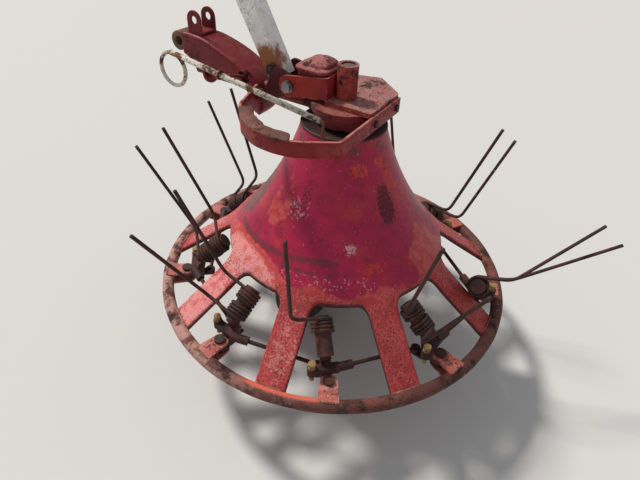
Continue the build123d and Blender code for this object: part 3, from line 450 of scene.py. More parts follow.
def bell_paint(name):
    """Crimson to coral by the carried marks, with pits, flecks, stains and dark lips."""
    material = shader(name)
    clouds = noise(7.0, 6.0, 0.62)
    fine = noise(42.0, 6.0, 0.68, offset=3.0)
    grit = noise(210.0, 4.0, 0.62, offset=1.3)
    chalk_grain = noise(130.0, 5.0, 0.72, offset=5.0)
    coral = over((0.54, 0.080, 0.075), (0.44, 0.036, 0.040), spots(fine, 0.42, 0.60))
    # Salmon is partly faded paint and partly a painted highlight on the bell's sunlit left flank.
    salmon_and_highlight = over((0.72, 0.26, 0.25), (0.60, 0.13, 0.12), spots(fine, 0.46, 0.62))
    dull = over((0.15, 0.035, 0.035), (0.22, 0.10, 0.085), spots(fine, 0.5, 0.7))
    pit_tone = over((0.115, 0.022, 0.024), (0.20, 0.055, 0.045), spots(fine, 0.45, 0.6))
    chalk = either(broken("chalk", chalk_grain), times(spots(chalk_grain, 0.655, 0.685), 0.8))
    pits = broken("pitted", grit)
    stain = broken("stain", noise(170.0, 3.0, 0.6, offset=6.6))
    dark_arc = broken("dark_arc", noise(50.0, 6.0, 0.7, offset=4.0))
    lips = carried("lip")
    colour = layered(
        (0.385, 0.012, 0.056),
        ((0.26, 0.013, 0.042), spots(fine, 0.46, 0.66)),
        ((0.42, 0.034, 0.048), spots(clouds, 0.50, 0.66)),
        (coral, broken("coral", clouds)),
        (salmon_and_highlight, broken("salmon_and_highlight", fine)),
        ((0.50, 0.040, 0.022), broken("orange", noise(75.0, 6.0, 0.75, offset=2.2))),
        (dull, broken("dull", noise(30.0, 7.0, 0.75, offset=8.1))),
        ((0.60, 0.36, 0.38), times(chalk, 0.8)),
        (pit_tone, times(pits, 0.75)),
        ((0.085, 0.016, 0.024), times(stain, 0.85)),
        ((0.13, 0.030, 0.036), times(dark_arc, 0.75)),
        ((0.085, 0.030, 0.028), times(lips, spots(fine, 0.25, 0.45))),
    )
    worn = either(pits, either(stain, lips))
    return coat(material, {
        "Base Color": colour, "Specular IOR Level": 0.30, "Roughness": ranged(worn, 0.0, 1.0, 0.42, 0.8),
    }, reckon("SUBTRACT", fine, times(pits, 0.7)), 0.0016, 0.5)


bell_red = bell_paint("bell_red")
read = [node.attribute_name for node in bell_red.node_tree.nodes if node.type == "ATTRIBUTE"]
print("the bell's paint reads", ", ".join(read))

# %% [markdown]
# Springs, pins and holders never kept any paint. Their rust is dark and dry, a little redder where
# it is fresh, and it has grain of its own; on the springs it is made darker still as painted shade.
# Grease, bare barrel steel and old brass differ from it only in their tones, so one function makes
# them all, and the near-black grease tone is partly painted shade as well. The plated bolt stays
# bright, and rubber is nearly black with a bloom of dust.

# %% Bare metals and rubber
def rusty_metal(name, dark, red, dust, dust_share):
    """Dry rust in two tones with grain, and dust where it has settled."""
    material = shader(name)
    clouds = noise(24.0, 6.0, 0.65, offset=4.0)
    grain = noise(260.0, 4.0, 0.6)
    drift = noise(55.0, 6.0, 0.7, offset=8.0)
    settled = spots(drift, 0.72 - dust_share * 0.3, 0.82 - dust_share * 0.2)
    colour = layered(
        dark,
        (red, spots(clouds, 0.42, 0.66)),
        (tuple(c * 0.45 for c in dark), times(spots(grain, 0.5, 0.7), 0.7)),
        (dust, times(settled, 0.7)),
    )
    rough = ranged(clouds, 0.3, 0.7, 0.62, 0.85)
    return coat(material, {"Base Color": colour, "Roughness": rough, "Metallic": 0.25}, grain, 0.0010, 0.5)


# The springs' rust is darker than the holders' as painted shade.
spring_rust_and_shade = rusty_metal("spring_rust_and_shade", (0.036, 0.017, 0.013), (0.105, 0.034, 0.023), (0.19, 0.12, 0.085), 0.2)
dark_rust = rusty_metal("dark_rust", (0.042, 0.019, 0.015), (0.125, 0.036, 0.026), (0.24, 0.16, 0.11), 0.4)
barrel_rust = rusty_metal("barrel_rust", (0.13, 0.075, 0.050), (0.26, 0.12, 0.07), (0.36, 0.27, 0.20), 0.5)
stem_steel = rusty_metal("stem_steel", (0.12, 0.10, 0.085), (0.17, 0.11, 0.075), (0.25, 0.21, 0.17), 0.3)
# The grease tone is near black partly as painted shade: it darkens the hub and the rim inside the neck.
grease_and_shade = rusty_metal("grease_and_shade", (0.030, 0.012, 0.011), (0.085, 0.020, 0.018), (0.10, 0.06, 0.05), 0.2)
brass = rusty_metal("brass", (0.30, 0.18, 0.07), (0.42, 0.27, 0.12), (0.25, 0.16, 0.09), 0.3)


def plated_steel(name):
    """Zinc plate, bright on the near head and stained on the washer under it."""
    material = shader(name)
    clouds = noise(60.0, 5.0, 0.6)
    bright = over((0.44, 0.47, 0.50), (0.22, 0.21, 0.20), spots(clouds, 0.45, 0.7))
    washer_y, head_y = -0.0528, -0.0532
    colour = over((0.075, 0.062, 0.056), bright, spots(parts_of(here())[1], washer_y, head_y))
    rough = ranged(clouds, 0.3, 0.7, 0.28, 0.5)
    return coat(material, {"Base Color": colour, "Roughness": rough, "Metallic": 0.9}, clouds, 0.0006, 0.3)


def tyre_rubber(name):
    """Black rubber with grey dust in its grain."""
    material = shader(name)
    colour = over((0.022, 0.021, 0.020), (0.11, 0.10, 0.085), spots(noise(30.0, 6.0, 0.7), 0.45, 0.75))
    return coat(material, {"Base Color": colour, "Roughness": 0.82}, noise(300.0, 3.0), 0.0008, 0.4)


zinc = plated_steel("zinc")
rubber = tyre_rubber("rubber")
print("materials:", len(bpy.data.materials))

# %% [markdown]
# ## Painting the CAD nodes
# A imported CAD node is a heap of loose triangles with sharp corners. Its mesh must not change, but
# modifiers may work on it: Weld joins the triangles, Bevel rounds the corners that are sharp, and
# Weighted Normal keeps broad faces flat to the light. Real castings and cut plates have such soft
# corners, and they give the edges their thin highlights.

# %% Give each node its finish and soft corners
# The hub's near-black grease tone is partly painted shade.
NODE_FINISH = {
    "ring_lugs": (lug_red, 1.5), "rotor_hub": (grease_and_shade, 1.0),
    "pivot_pins": (dark_rust, 1.5), "adjuster_pins": (brass, 0.8), "link_rods": (dark_rust, 0.8),
    "gear_housing": (casting_red, 2.0), "housing_cover": (cover_red, 2.5),
    "clevis_strap": (strap_red, None), "clevis_bolt": (zinc, 0.8), "bow_bolts": (dark_rust, 0.8),
    "hinge_barrel": (barrel_rust, 1.2), "arm_ears": (arm_red, 1.2), "strut_pin": (dark_rust, 0.8),
    "brace_strut": (strut_white, 3.0), "drive_tube": (arm_red, 0.8), "drive_hanger": (arm_red, 1.0),
    "lever_rod": (rod_white, 0.0), "wheel_stem": (stem_steel, 1.0), "axle_crank": (stem_steel, 2.0),
    "wheel_hub": (wheel_red, 1.2), "wheel_rim": (wheel_red, 1.2), "tyre": (rubber, 1.0),
}
for i in range(ARMS):
    NODE_FINISH[f"tine_holder_{i + 1}"] = (dark_rust, 1.5)


def soften(node, width):
    """Weld, round and shade a CAD node with modifiers only; width in millimetres, None for flat faces."""
    if width is None:
        return
    node.data.polygons.foreach_set("use_smooth", np.ones(len(node.data.polygons), bool))
    weld = node.modifiers.new("weld", "WELD")
    weld.merge_threshold = 0.00002
    if width:
        bevel = node.modifiers.new("corners", "BEVEL")
        bevel.width = width / 1000
        bevel.segments = 2
        bevel.limit_method = "ANGLE"
        bevel.angle_limit = math.radians(38)
        bevel.use_clamp_overlap = True
        normals = node.modifiers.new("normals", "WEIGHTED_NORMAL")
        normals.weight = 60


for name, (material, width) in NODE_FINISH.items():
    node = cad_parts[name]
    node.data.materials.clear()
    node.data.materials.append(material)
    soften(node, width)
print("painted", len(NODE_FINISH), "CAD nodes")

# %% [markdown]
# ## Meshes from grids
# Every new surface here is a grid: rows along a profile and columns across it. The vertices come
# from one formula on whole arrays, and the faces join each point to its neighbours. Sheets get
# their thickness and soft edges from modifiers, so the grid stays a single skin.

# %% Turn grids of points into a mesh
MICRON = 0.000001


def grid_faces(rows, columns, start=0, flip=False, closed=False):
    """Quads between neighbouring points of a grid whose first point has number start."""
    number = start + np.arange(rows * columns).reshape(rows, columns)
    if closed:
        number = np.concatenate([number, number[:, :1]], 1)
    a, b, c, d = number[:-1, :-1], number[:-1, 1:], number[1:, 1:], number[1:, :-1]
    quads = np.stack([a, b, c, d] if flip else [a, d, c, b], -1)
    return quads.reshape(-1, 4)


def mesh_piece(name, grids, material, weld=0.0, gone=None):
    """One object from grids, each (points, flip, closed).

    Weld, in metres, joins points that lie so close. Faces whose corners are all gone drop out.
    """
    points, faces, count = [], [], 0
    for grid, flip, closed in grids:
        rows, columns = grid.shape[:2]
        faces.append(grid_faces(rows, columns, count, flip, closed))
        points.append(grid.reshape(-1, 3))
        count += rows * columns
    faces = np.concatenate(faces)
    if gone is not None:
        faces = faces[~gone.reshape(-1)[faces].all(1)]
    mesh = bpy.data.meshes.new(name)
    mesh.from_pydata(np.concatenate(points).tolist(), [], faces.tolist())
    if weld:
        work = bmesh.new()
        work.from_mesh(mesh)
        bmesh.ops.remove_doubles(work, verts=work.verts, dist=weld)
        work.to_mesh(mesh)
        work.free()
    mesh.polygons.foreach_set("use_smooth", np.ones(len(mesh.polygons), bool))
    mesh.materials.append(material)
    made = bpy.data.objects.new(name, mesh)
    bpy.context.scene.collection.objects.link(made)
    return made


def thicken(piece, thickness, offset, corner=0.0, sharp=30):
    """Thickness of a sheet in millimetres, and edges rounded where they turn by more than sharp degrees."""
    sheet = piece.modifiers.new("sheet", "SOLIDIFY")
    sheet.thickness, sheet.offset = thickness / 1000, offset
    if corner:
        edge = piece.modifiers.new("edge", "BEVEL")
        edge.width, edge.segments, edge.limit_method = corner / 1000, 2, "ANGLE"
        edge.angle_limit = math.radians(sharp)


# %% [markdown]
# Lines need a few helpers too: unit vectors at an angle, the length along a line, and places read
# off it. Wires and welds are round sections carried along a line. The frame of each ring is the
# last one turned as little as it can be, so the tube never twists.

# %% Lines, and tubes along them
ASIDE = [0.3, 0.9, 0.2]


def full_turn(count):
    """Even steps round a whole turn, without its end."""
    return np.linspace(0, 2 * math.pi, count, endpoint=False)


def unit(angle):
    """Vectors of length one at some angles of a plane."""
    return np.stack([np.cos(angle), np.sin(angle)], -1)


def length_along(line):
    """Length along a line up to each of its points."""
    return np.concatenate([[0], np.cumsum(np.linalg.norm(np.diff(line, axis=0), axis=1))])


def read_off(line, run, at):
    """Every column of a line's points, read off at places of its run."""
    return np.stack([np.interp(at, run, column) for column in line.T], -1)


def tube(line, radius, sides=10, turn=0.0):
    """Rings of points round a line with closed ends, placed, as a grid for mesh_piece."""
    tangent = np.gradient(line, axis=0)
    tangent /= np.linalg.norm(tangent, axis=1)[:, None]
    first = np.cross(tangent[0], ASIDE)
    frames = [first / np.linalg.norm(first)]
    for t in tangent[1:]:
        kept = frames[-1] - t * (frames[-1] @ t)
        frames.append(kept / np.linalg.norm(kept))
    normal = np.array(frames)
    binormal = np.cross(tangent, normal)
    angle = full_turn(sides)
    size = np.broadcast_to(np.asarray(radius, float), len(line))[:, None, None]
    rings = line[:, None] + size * (
        normal[:, None] * np.cos(angle)[None, :, None] + binormal[:, None] * np.sin(angle)[None, :, None]
    )
    caps = line[[0, -1], None].repeat(sides, 1)
    return placed(np.concatenate([caps[:1], rings, caps[1:]]), turn), True, True


# %% [markdown]
# ## The bell
# The bell is one pressed sheet: a neck, a trumpet flare, and nine flat spokes with windows between
# them whose edges are rolled down. It could be a turned shape with holes cut by a boolean, but the
# cut would leave hard edges. Instead the sheet is laid out as grids that end exactly at the
# windows' outline, and the lip is one more grid that rolls over from there.

# %% The bell's section
CROWN, NECK_FOOT, KNEE, SPOKE_END = np.array([(110, 496), (116, 473), (345, 120), (508, -2)], float)
FLARE_SAG = 26.0
SECTION_STEPS, EASED_STEPS = 600, 25


def bell_section():
    """Distance from the axis and height along the sheet: neck, flare arc, spoke, with eased knees.

    The flare is the arc through its two ends that sags by FLARE_SAG under their chord. Each knee is
    eased by a moving average over EASED_STEPS to both sides.
    """
    chord = NECK_FOOT - KNEE
    inward = np.array([-chord[1], chord[0]]) / np.hypot(*chord)
    radius = (chord @ chord / 4 + FLARE_SAG**2) / (2 * FLARE_SAG)
    centre = (NECK_FOOT + KNEE) / 2 + inward * (FLARE_SAG - radius)
    a, b = (math.atan2(*(p - centre)[::-1]) for p in (NECK_FOOT, KNEE))
    arc = centre + radius * unit(np.linspace(a, b, SECTION_STEPS))
    neck = CROWN + (NECK_FOOT - CROWN) * np.linspace(0, 1, 40)[:-1, None]
    spoke = KNEE + (SPOKE_END - KNEE) * np.linspace(0, 1, 240)[1:, None]
    line = np.concatenate([neck, arc, spoke])
    run = length_along(line)
    line = read_off(line, run, np.linspace(0, run[-1], SECTION_STEPS))
    padded = np.concatenate([line[:1].repeat(EASED_STEPS, 0), line, line[-1:].repeat(EASED_STEPS, 0)])
    kernel = np.ones(2 * EASED_STEPS + 1) / (2 * EASED_STEPS + 1)
    smoothed = np.stack([np.convolve(column, kernel, "valid") for column in padded.T], -1)
    step = np.arange(SECTION_STEPS)
    share = np.minimum(1, np.minimum(step, step[::-1]) / (2 * EASED_STEPS))[:, None]
    return line * (1 - share) + smoothed * share


section = bell_section()
section_run = length_along(section)


def on_sheet(x, y):
    """Points of the sheet's outside above places x, y of the plan."""
    return np.stack([x, y, np.interp(np.hypot(x, y), section[:, 0], section[:, 1])], -1)


print("bell section from", section[0].round(1), "to", section[-1].round(1), "length", round(section_run[-1], 1))

# %% The window's outline, as half of it beside a spoke
LIP_R, LIP_DROP = 6.0, 11.0
WINDOW_TOP, CORNER, SPOKE_HALF, SPOKE_REACH = 315.0, 32.0, 40.0, 502.0
corner_y = SPOKE_HALF + CORNER
corner_x = math.sqrt((WINDOW_TOP + CORNER) ** 2 - corner_y**2)
across = np.linspace(0, SPOKE_HALF - LIP_R, 6)
swing = np.radians(np.linspace(-90, -180 + math.degrees(math.atan2(corner_y, corner_x)), 10))
corner_line = np.array([corner_x, corner_y]) + (CORNER + LIP_R) * unit(swing)
corner_out = -unit(swing)
crest_out = unit(np.linspace(math.atan2(corner_y, corner_x), PITCH / 2, 6)[1:])
crest_line = (WINDOW_TOP - LIP_R) * crest_out
print("window corner at", round(corner_x, 1), corner_y)

# %% The upper sheet, the spokes and the rolled lips of one ninth
def mirrored(half_grid):
    """A grid from the middle outwards, completed with its mirror image across y = 0."""
    return np.concatenate([half_grid[:, :0:-1] * [1, -1, 1], half_grid], 1)


below = np.concatenate([np.stack([np.full(len(across), corner_x), across], -1), corner_line[1:], crest_line])
theta = np.arctan2(below[:, 1], below[:, 0])
reach = np.interp(np.hypot(below[:, 0], below[:, 1]), section[:, 0], section_run)
rows = 1 - (1 - np.linspace(0, 1, 56)) ** 1.15
run = rows[:, None] * reach[None, :]
radius_at, height_at = (np.interp(run, section_run, section[:, k]) for k in (0, 1))
upper = mirrored(np.stack([radius_at * np.cos(theta), radius_at * np.sin(theta), height_at], -1))

spoke_x = np.linspace(corner_x, SPOKE_REACH, 22)
spoke = mirrored(on_sheet(*np.meshgrid(spoke_x, across, indexing="ij")))

edge = np.concatenate([
    np.stack([spoke_x[::-1], np.full(len(spoke_x), SPOKE_HALF - LIP_R)], -1),
    corner_line[1:],
    crest_line,
])
edge_out = np.concatenate([np.tile([0.0, 1.0], (len(spoke_x), 1)), corner_out[1:], crest_out])
edge_points = on_sheet(edge[:, 0], edge[:, 1])
ahead = on_sheet(edge[:, 0] + edge_out[:, 0], edge[:, 1] + edge_out[:, 1]) - edge_points
ahead /= np.linalg.norm(ahead, axis=1)[:, None]
roll = np.linspace(0, math.pi / 2, 6)[1:, None, None]
down = np.array([0.0, 0.0, -1.0])
rolled = edge_points + LIP_R * (ahead * np.sin(roll) + down * (1 - np.cos(roll)))
dropped = rolled[-1] + down * np.linspace(0, LIP_DROP, 3)[1:, None, None]
lip = np.concatenate([edge_points[None], rolled, dropped])

sector = [(upper, False), (spoke, False), (lip, False), (lip * [1, -1, 1], True)]
bell_grids = [(placed(grid, SPOKE_TURN + PITCH * i), flip, False) for i in range(ARMS) for grid, flip in sector]
bell = mesh_piece("bell_sheet", bell_grids, bell_red, weld=0.00005)
thicken(bell, 4.0, -1.0)
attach(bell, "rotor")
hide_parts("rotor_bell")
print("bell sheet:", len(bell.data.vertices), "points")

# %% [markdown]
# Now that the sheet has vertices, each can carry its share of every mark. A painted texture would
# need an unwrapped sheet. Soft ellipses and stripes, placed by bearing and by distance from the
# axis, lie on the flare without one.

# %% Say where each mark of the bell's paint lies
def eased(x, low, high):
    """0 at low, 1 at high, with a smooth S between."""
    t = np.clip((x - low) / (high - low), 0, 1)
    return t * t * (3 - 2 * t)


def corners_of(piece):
    """A piece's vertices in millimetres about the rotor's axis."""
    flat = np.empty(len(piece.data.vertices) * 3)
    piece.data.vertices.foreach_get("co", flat)
    return (flat.reshape(-1, 3) - AXIS) * 1000


def carry(piece, name, values):
    """Keep one number for each vertex on the mesh, under a name."""
    layer = piece.data.attributes.new(name, "FLOAT", "POINT")
    layer.data.foreach_set("value", np.clip(values, 0, 1).astype(np.float32))


own = corners_of(bell)
bearing = np.degrees(np.arctan2(own[:, 1], own[:, 0])) % 360
away = np.hypot(own[:, 0], own[:, 1])
travel = np.interp(away, section[:, 0], section_run)


def patches(*rows):
    """Sum of soft ellipses: strength, bearing, distance from the axis, half width and half length."""
    total = 0
    for strength, angle, radius, half_width, half_length in rows:
        sideways = np.radians((bearing - angle + 180) % 360 - 180) * radius / half_width
        lengthways = (travel - np.interp(radius, section[:, 0], section_run)) / half_length
        total = total + strength * (1 - eased(np.hypot(sideways, lengthways), 0.45, 1.25))
    return total


def band(radius, half_width, start, end):
    """Stripe round the bell at one distance from the axis, between two bearings."""
    stripe = 1 - eased(np.abs(away - radius), half_width * 0.4, half_width)
    return stripe * eased(bearing, start - 8, start) * (1 - eased(bearing, end, end + 8))


carry(bell, "coral", 0.12 + 0.9 * eased(away, 262, 345) + patches(
    (0.8, 243, 300, 150, 70), (0.6, 10, 280, 70, 120), (0.3, 5, 180, 40, 80), (0.46, 247, 185, 50, 105),
    (0.30, 345, 240, 110, 90),
))
# The salmon patches are faded paint and a painted highlight where the sun falls on the left flank.
carry(bell, "salmon_and_highlight", 0.1 + patches(
    (0.90, 246, 312, 150, 60), (0.95, 243, 430, 60, 110), (0.5, 202, 400, 60, 120), (0.42, 283, 420, 50, 110),
))
carry(bell, "orange", 0.12 + patches(
    (0.40, 353, 150, 30, 50), (0.50, 318, 134, 32, 24), (0.45, 343, 130, 20, 22), (0.38, 320, 262, 60, 22),
    (0.33, 8, 190, 40, 80),
))
carry(bell, "dull", 0.14 + 0.36 * (1 - eased(away, 112, 150)) + patches(
    (0.62, 208, 220, 62, 130), (0.42, 26, 220, 25, 80),
))
carry(bell, "chalk", 0.34 * band(284, 22, 272, 318) + patches(
    (0.52, 308.5, 228, 25, 24), (0.21, 266, 181, 52, 52), (0.19, 254, 205, 110, 100), (0.36, 240, 325, 95, 80),
    (0.36, 283, 350, 60, 40), (0.24, 330, 140, 60, 30),
))
carry(bell, "pitted", 0.12 + 0.33 * eased(away, 240, 350) + patches(
    (-0.14, 243, 430, 70, 120), (0.10, 286, 320, 120, 50),
))
carry(bell, "stain", patches((0.80, 341.5, 178, 33, 70), (0.40, 270, 165, 22, 70), (0.36, 260, 226, 28, 30)))
# Two thin curved bands on the flare are painted darker.
carry(bell, "dark_arc", 0.80 * band(264 - 0.25 * (bearing - 236), 8.5, 222, 298) + 0.66 * band(270, 5.5, 268, 297))
carry(bell, "lip", eased(np.interp(away, section[:, 0], section[:, 1]) - own[:, 2], 3, 8))
print("marks:", [layer.name for layer in bell.data.attributes if layer.data_type == "FLOAT"])

# %% [markdown]
# Old grease has built a rim round the neck, and its near-black tone is partly painted shade. It is a true
# turned shape, so a profile of radius and height is carried round the axis.

# %% The rim round the neck
bend = np.linspace(0, math.pi, 9)
roll_over = zip(109 + 3.5 * np.sin(bend), 492.5 + 3.5 * np.cos(bend))
rim_profile = np.array([(46, 491), (46, 495.4), (107, 495.8), *roll_over, (104, 488)])[:, None]
around = unit(full_turn(96))[None]
rim_grid = np.concatenate([rim_profile[..., :1] * around, rim_profile[..., 1:].repeat(96, 1)], -1)
rim = mesh_piece("neck_rim", [(placed(rim_grid), False, True)], grease_and_shade)
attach(rim, "rotor")
print("neck rim:", len(rim.data.vertices), "points")

# %% [markdown]
# ## The carrier arm
# The arm is a pressed channel: a sheet folded down at both sides, with soft shoulders, that slopes
# from the hinge and hooks down at its outer end. A box with a bevel would have the same sides but
# not the sweep of that end. Here two lines are drawn in side view, the top and the lower edge, and
# a rounded U is carried along them, so one formula gives sides, shoulders and hook. The oval hole in
# its near side is made in the grid itself: points inside the oval move out to its rim, and the faces
# that are left with no point outside are dropped.

# %% Two smooth lines seen from the side
ARM_STATIONS = np.array([
    # top x, top z, lower edge x, lower edge z, half width
    (-505, 626, -505, 571, 38.6),
    (-470, 627, -470, 556, 41),
    (-428, 625, -420, 540, 44),
    (-384, 613, -380, 533, 47.5),
    (-340, 598, -343, 529, 50),
    (-300, 580, -312, 527, 50),
    (-264, 560, -286, 525, 50),
    (-240, 536, -270, 520, 50),
    (-229, 506, -274, 500, 49),
    (-233, 478, -281, 482, 44),
    (-243, 459, -276, 466, 36),
    (-256, 447, -264, 452, 26),
], float)


def smooth_rows(table, rows=90, passes=18):
    """Even steps through a table, each pass averaging a row with its neighbours; the ends stay."""
    out = read_off(table, np.arange(len(table)), np.linspace(0, len(table) - 1, rows))
    for _ in range(passes):
        out[1:-1] = (out[:-2] + 2 * out[1:-1] + out[2:]) / 4
    return out


arm_rows = smooth_rows(ARM_STATIONS)
print("arm stations:", arm_rows.shape)

# %% Carry the U along them
def channel(rows, shoulder=9.0):
    """Inverted U at each row: up one side, round a shoulder, across the top and down the other side."""
    top, low, width = rows[:, 0:2], rows[:, 2:4], rows[:, 4]
    rise = np.linalg.norm(top - low, axis=1)
    direction = (top - low) / rise[:, None]
    radius = np.minimum(shoulder, np.minimum(rise * 0.45, width * 0.6))[:, None]
    wall = np.linspace(0, 1, 18)[None, :-1]
    phi = np.linspace(0, math.pi / 2, 8)[None]
    flat = np.linspace(1, 0, 6)[None, 1:]
    full, tall = width[:, None], rise[:, None]
    y = np.concatenate([full + 0 * wall, full - radius * (1 - np.cos(phi)), (full - radius) * flat], 1)
    lift = np.concatenate([(tall - radius) * wall, tall - radius * (1 - np.sin(phi)), tall + 0 * flat], 1)
    y = np.concatenate([-y, y[:, -2::-1]], 1)
    lift = np.concatenate([lift, lift[:, -2::-1]], 1)
    x = low[:, :1] + direction[:, :1] * lift
    z = low[:, 1:] + direction[:, 1:] * lift
    return np.stack([x, y, z], -1)


arm_grid = channel(arm_rows)
HOLE_AT, HOLE_HALF, HOLE_SLOPE = np.array([-282.0, 556.0]), np.array([19.0, 12.0]), math.radians(-28)
c, s = math.cos(HOLE_SLOPE), math.sin(HOLE_SLOPE)
along_hole = np.array([[c, -s], [s, c]])
offset = (arm_grid[..., [0, 2]] - HOLE_AT) @ along_hole / HOLE_HALF
ovals = np.linalg.norm(offset, axis=-1)
near_side = arm_grid[..., 1] < -30
inside = (ovals < 1) & near_side
rim_of_hole = HOLE_AT + (offset / ovals[..., None] * HOLE_HALF) @ along_hole.T
arm_grid[..., [0, 2]] = np.where(inside[..., None], rim_of_hole, arm_grid[..., [0, 2]])
arm_sheet = mesh_piece("arm_sheet", [(placed(arm_grid), False, False)], arm_red, gone=inside)
thicken(arm_sheet, 5.0, -1.0, corner=1.2, sharp=50)
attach(arm_sheet, "frame")
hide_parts("carrier_arm")
print("arm sheet:", len(arm_sheet.data.vertices), "points")

# %% [markdown]
# ## The gusset
# Two flame-cut cheek plates lie on the arm's outer end and reach on between the legs of the strap,
# and a dark plate behind the oval hole stands for the shadow inside the arm. Cubes would have to be
# cut to shape. An outline that is stepped off evenly and averaged a few times gives the melted
# corners of a cut, and a modifier adds the thickness.

# %% Cheek plates, and the plate behind the hole
def plate(name, outline, depth, thickness, material, offset):
    """Plate with a softened outline of x and z at one y; offset 0 thickens it both ways, 1 towards +Y."""
    outline = np.concatenate([outline, outline[:1]]).astype(float)
    run = length_along(outline)
    edge = np.insert(read_off(outline, run, np.arange(0, run[-1], 3.0)), 1, depth, axis=1)
    for _ in range(6):
        edge = (np.roll(edge, 1, 0) + 2 * edge + np.roll(edge, -1, 0)) / 4
    mesh = bpy.data.meshes.new(name)
    mesh.from_pydata(placed(edge).tolist(), [], [list(range(len(edge)))])
    mesh.materials.append(material)
    made = bpy.data.objects.new(name, mesh)
    bpy.context.scene.collection.objects.link(made)
    thicken(made, thickness, offset, corner=1.0)
    return made


CHEEK = [
    (-250, 500), (-252, 536), (-226, 532), (-208, 560), (-198, 590), (-186, 605), (-166, 603),
    (-124, 586), (-124, 548), (-176, 524), (-222, 499),
]
# The cheeks' dark red is painted shade.
for name, depth in (("gusset_near", -39.5), ("gusset_far", 39.5)):
    cheek = plate(name, CHEEK, depth, 8.0, shaded_gusset_red, offset=0.0)
    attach(cheek, "frame")
    if depth < 0:
        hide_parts("arm_gusset")
# The plate behind the hole is painted shadow: a dark sheet in the grease tone, where the inside of the arm is
# only in shade.
SHADOW_PLATE_HALF = np.array([24.0, 17.0])
seen_through = HOLE_AT + SHADOW_PLATE_HALF * unit(full_turn(24)) @ along_hole.T
shadow_plate = plate("hole_shadow_plate", seen_through, -38.0, 3.0, grease_and_shade, offset=1.0)
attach(shadow_plate, "frame")
print("cheek plates: 2, and a dark plate behind the arm's hole")

# %% [markdown]
# ## The eye of the lever rod
# A small forged eye holds the white lever rod, and its shank goes into the arm's hole. A torus and a
# cylinder would meet at a seam. Two tubes computed along a circle and a short line run into each
# other instead, and the circle is set square to the rod, so the rod passes through its middle.

# %% Eye round the rod, and its shank into the arm's hole
ROD_TIP, ROD_NECK = np.array([18.0, -150.0, 556.0]), np.array([-375.0, -165.0, 617.0])
EYE_X, EYE_R, EYE_THICK, SHANK_R, SHANK_START = -262.0, 10.2, 2.6, 4.2, 9.0
eye_at = ROD_TIP + (EYE_X - ROD_TIP[0]) / (ROD_NECK[0] - ROD_TIP[0]) * (ROD_NECK - ROD_TIP)
rod_way = (ROD_NECK - ROD_TIP) / np.linalg.norm(ROD_NECK - ROD_TIP)
shank_foot = np.array([HOLE_AT[0] + 2, -44.0, HOLE_AT[1]])
side = shank_foot - eye_at
side -= rod_way * (side @ rod_way)
side /= np.linalg.norm(side)
eye_line = eye_at + EYE_R * unit(np.linspace(0, 2 * math.pi, 33)) @ np.array([side, np.cross(rod_way, side)])
shank_top = eye_at + SHANK_START * side
shank_line = shank_top + np.linspace(0, 1, 24)[:, None] * (shank_foot - shank_top)
eye_tubes = [tube(eye_line, EYE_THICK), tube(shank_line, SHANK_R, 12)]
eye = mesh_piece("rod_eye", eye_tubes, arm_red, weld=MICRON)
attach(eye, "frame")
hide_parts("rod_guide")
print("rod eye:", len(eye.data.vertices), "points")

# %% [markdown]
# ## The guard bow
# The bow is a flat bar bent on edge round the back of the bell, with a worn strip welded on its
# inner top. Straight runs joined by tangent arcs make the line in plan, and a small section is
# carried along it upright. Only the strip changes along the way: it narrows in a quarter circle at
# both ends and its inner edge wavers where it has worn.

# %% Line of the bow in plan
def rounded_path(corners, radii, step):
    """Points along straight runs joined by tangent arcs, an even step apart."""
    corners = np.array(corners, float)
    line = [corners[:1]]
    for before, corner, after, radius in zip(corners, corners[1:], corners[2:], radii):
        back = (before - corner) / np.linalg.norm(before - corner)
        on = (after - corner) / np.linalg.norm(after - corner)
        bend = math.pi - math.acos(back @ on)
        middle = corner + (back + on) / np.linalg.norm(back + on) * radius / math.cos(bend / 2)
        first = corner + back * radius * math.tan(bend / 2) - middle
        last = corner + on * radius * math.tan(bend / 2) - middle
        w = np.linspace(0, 1, 13)[:, None]
        line.append(middle + (np.sin((1 - w) * bend) * first + np.sin(w * bend) * last) / math.sin(bend))
    line = np.concatenate(line + [corners[-1:]])
    run = length_along(line)
    return read_off(line, run, np.arange(0, run[-1], step))


def upright_sweep(line, section):
    """A section of outward offset and height, one per point of the line, carried along it upright."""
    way = np.gradient(line, axis=0)
    way /= np.linalg.norm(way, axis=1)[:, None]
    out = np.stack([-way[:, 1], way[:, 0]], -1)
    flat = line[:, None] + out[:, None] * section[..., :1]
    rows = np.concatenate([flat, section[..., 1:]], -1)
    caps = rows[[0, -1]].mean(1, keepdims=True).repeat(rows.shape[1], 1)
    return np.concatenate([caps[:1], rows, caps[1:]])


BOW_CORNERS = [(100, 100), (100, -198), (2, -267), (-84, -261), (-143, -231), (-197, -170), (-238, -50.6)]
BOW_RADII = [14, 150, 90, 90, 60]
BOW_STEP = 4.0
BAR_SECTION = np.array([
    (4, 511.2), (4, 530), (4, 548), (2.8, 549.4), (0, 549.8), (-2.8, 549.4), (-4, 548), (-4, 530), (-4, 511.2),
    (-2.8, 510.2), (0, 510), (2.8, 510.2),
])
bow_line = rounded_path(BOW_CORNERS, BOW_RADII, BOW_STEP)
bow_grid = upright_sweep(bow_line, BAR_SECTION[None].repeat(len(bow_line), 0))
bow = mesh_piece("bow_bar", [(placed(bow_grid), False, True)], bow_red, weld=MICRON)
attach(bow, "frame")
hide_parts("guard_bow")
print("bow:", len(bow_line), "stations")

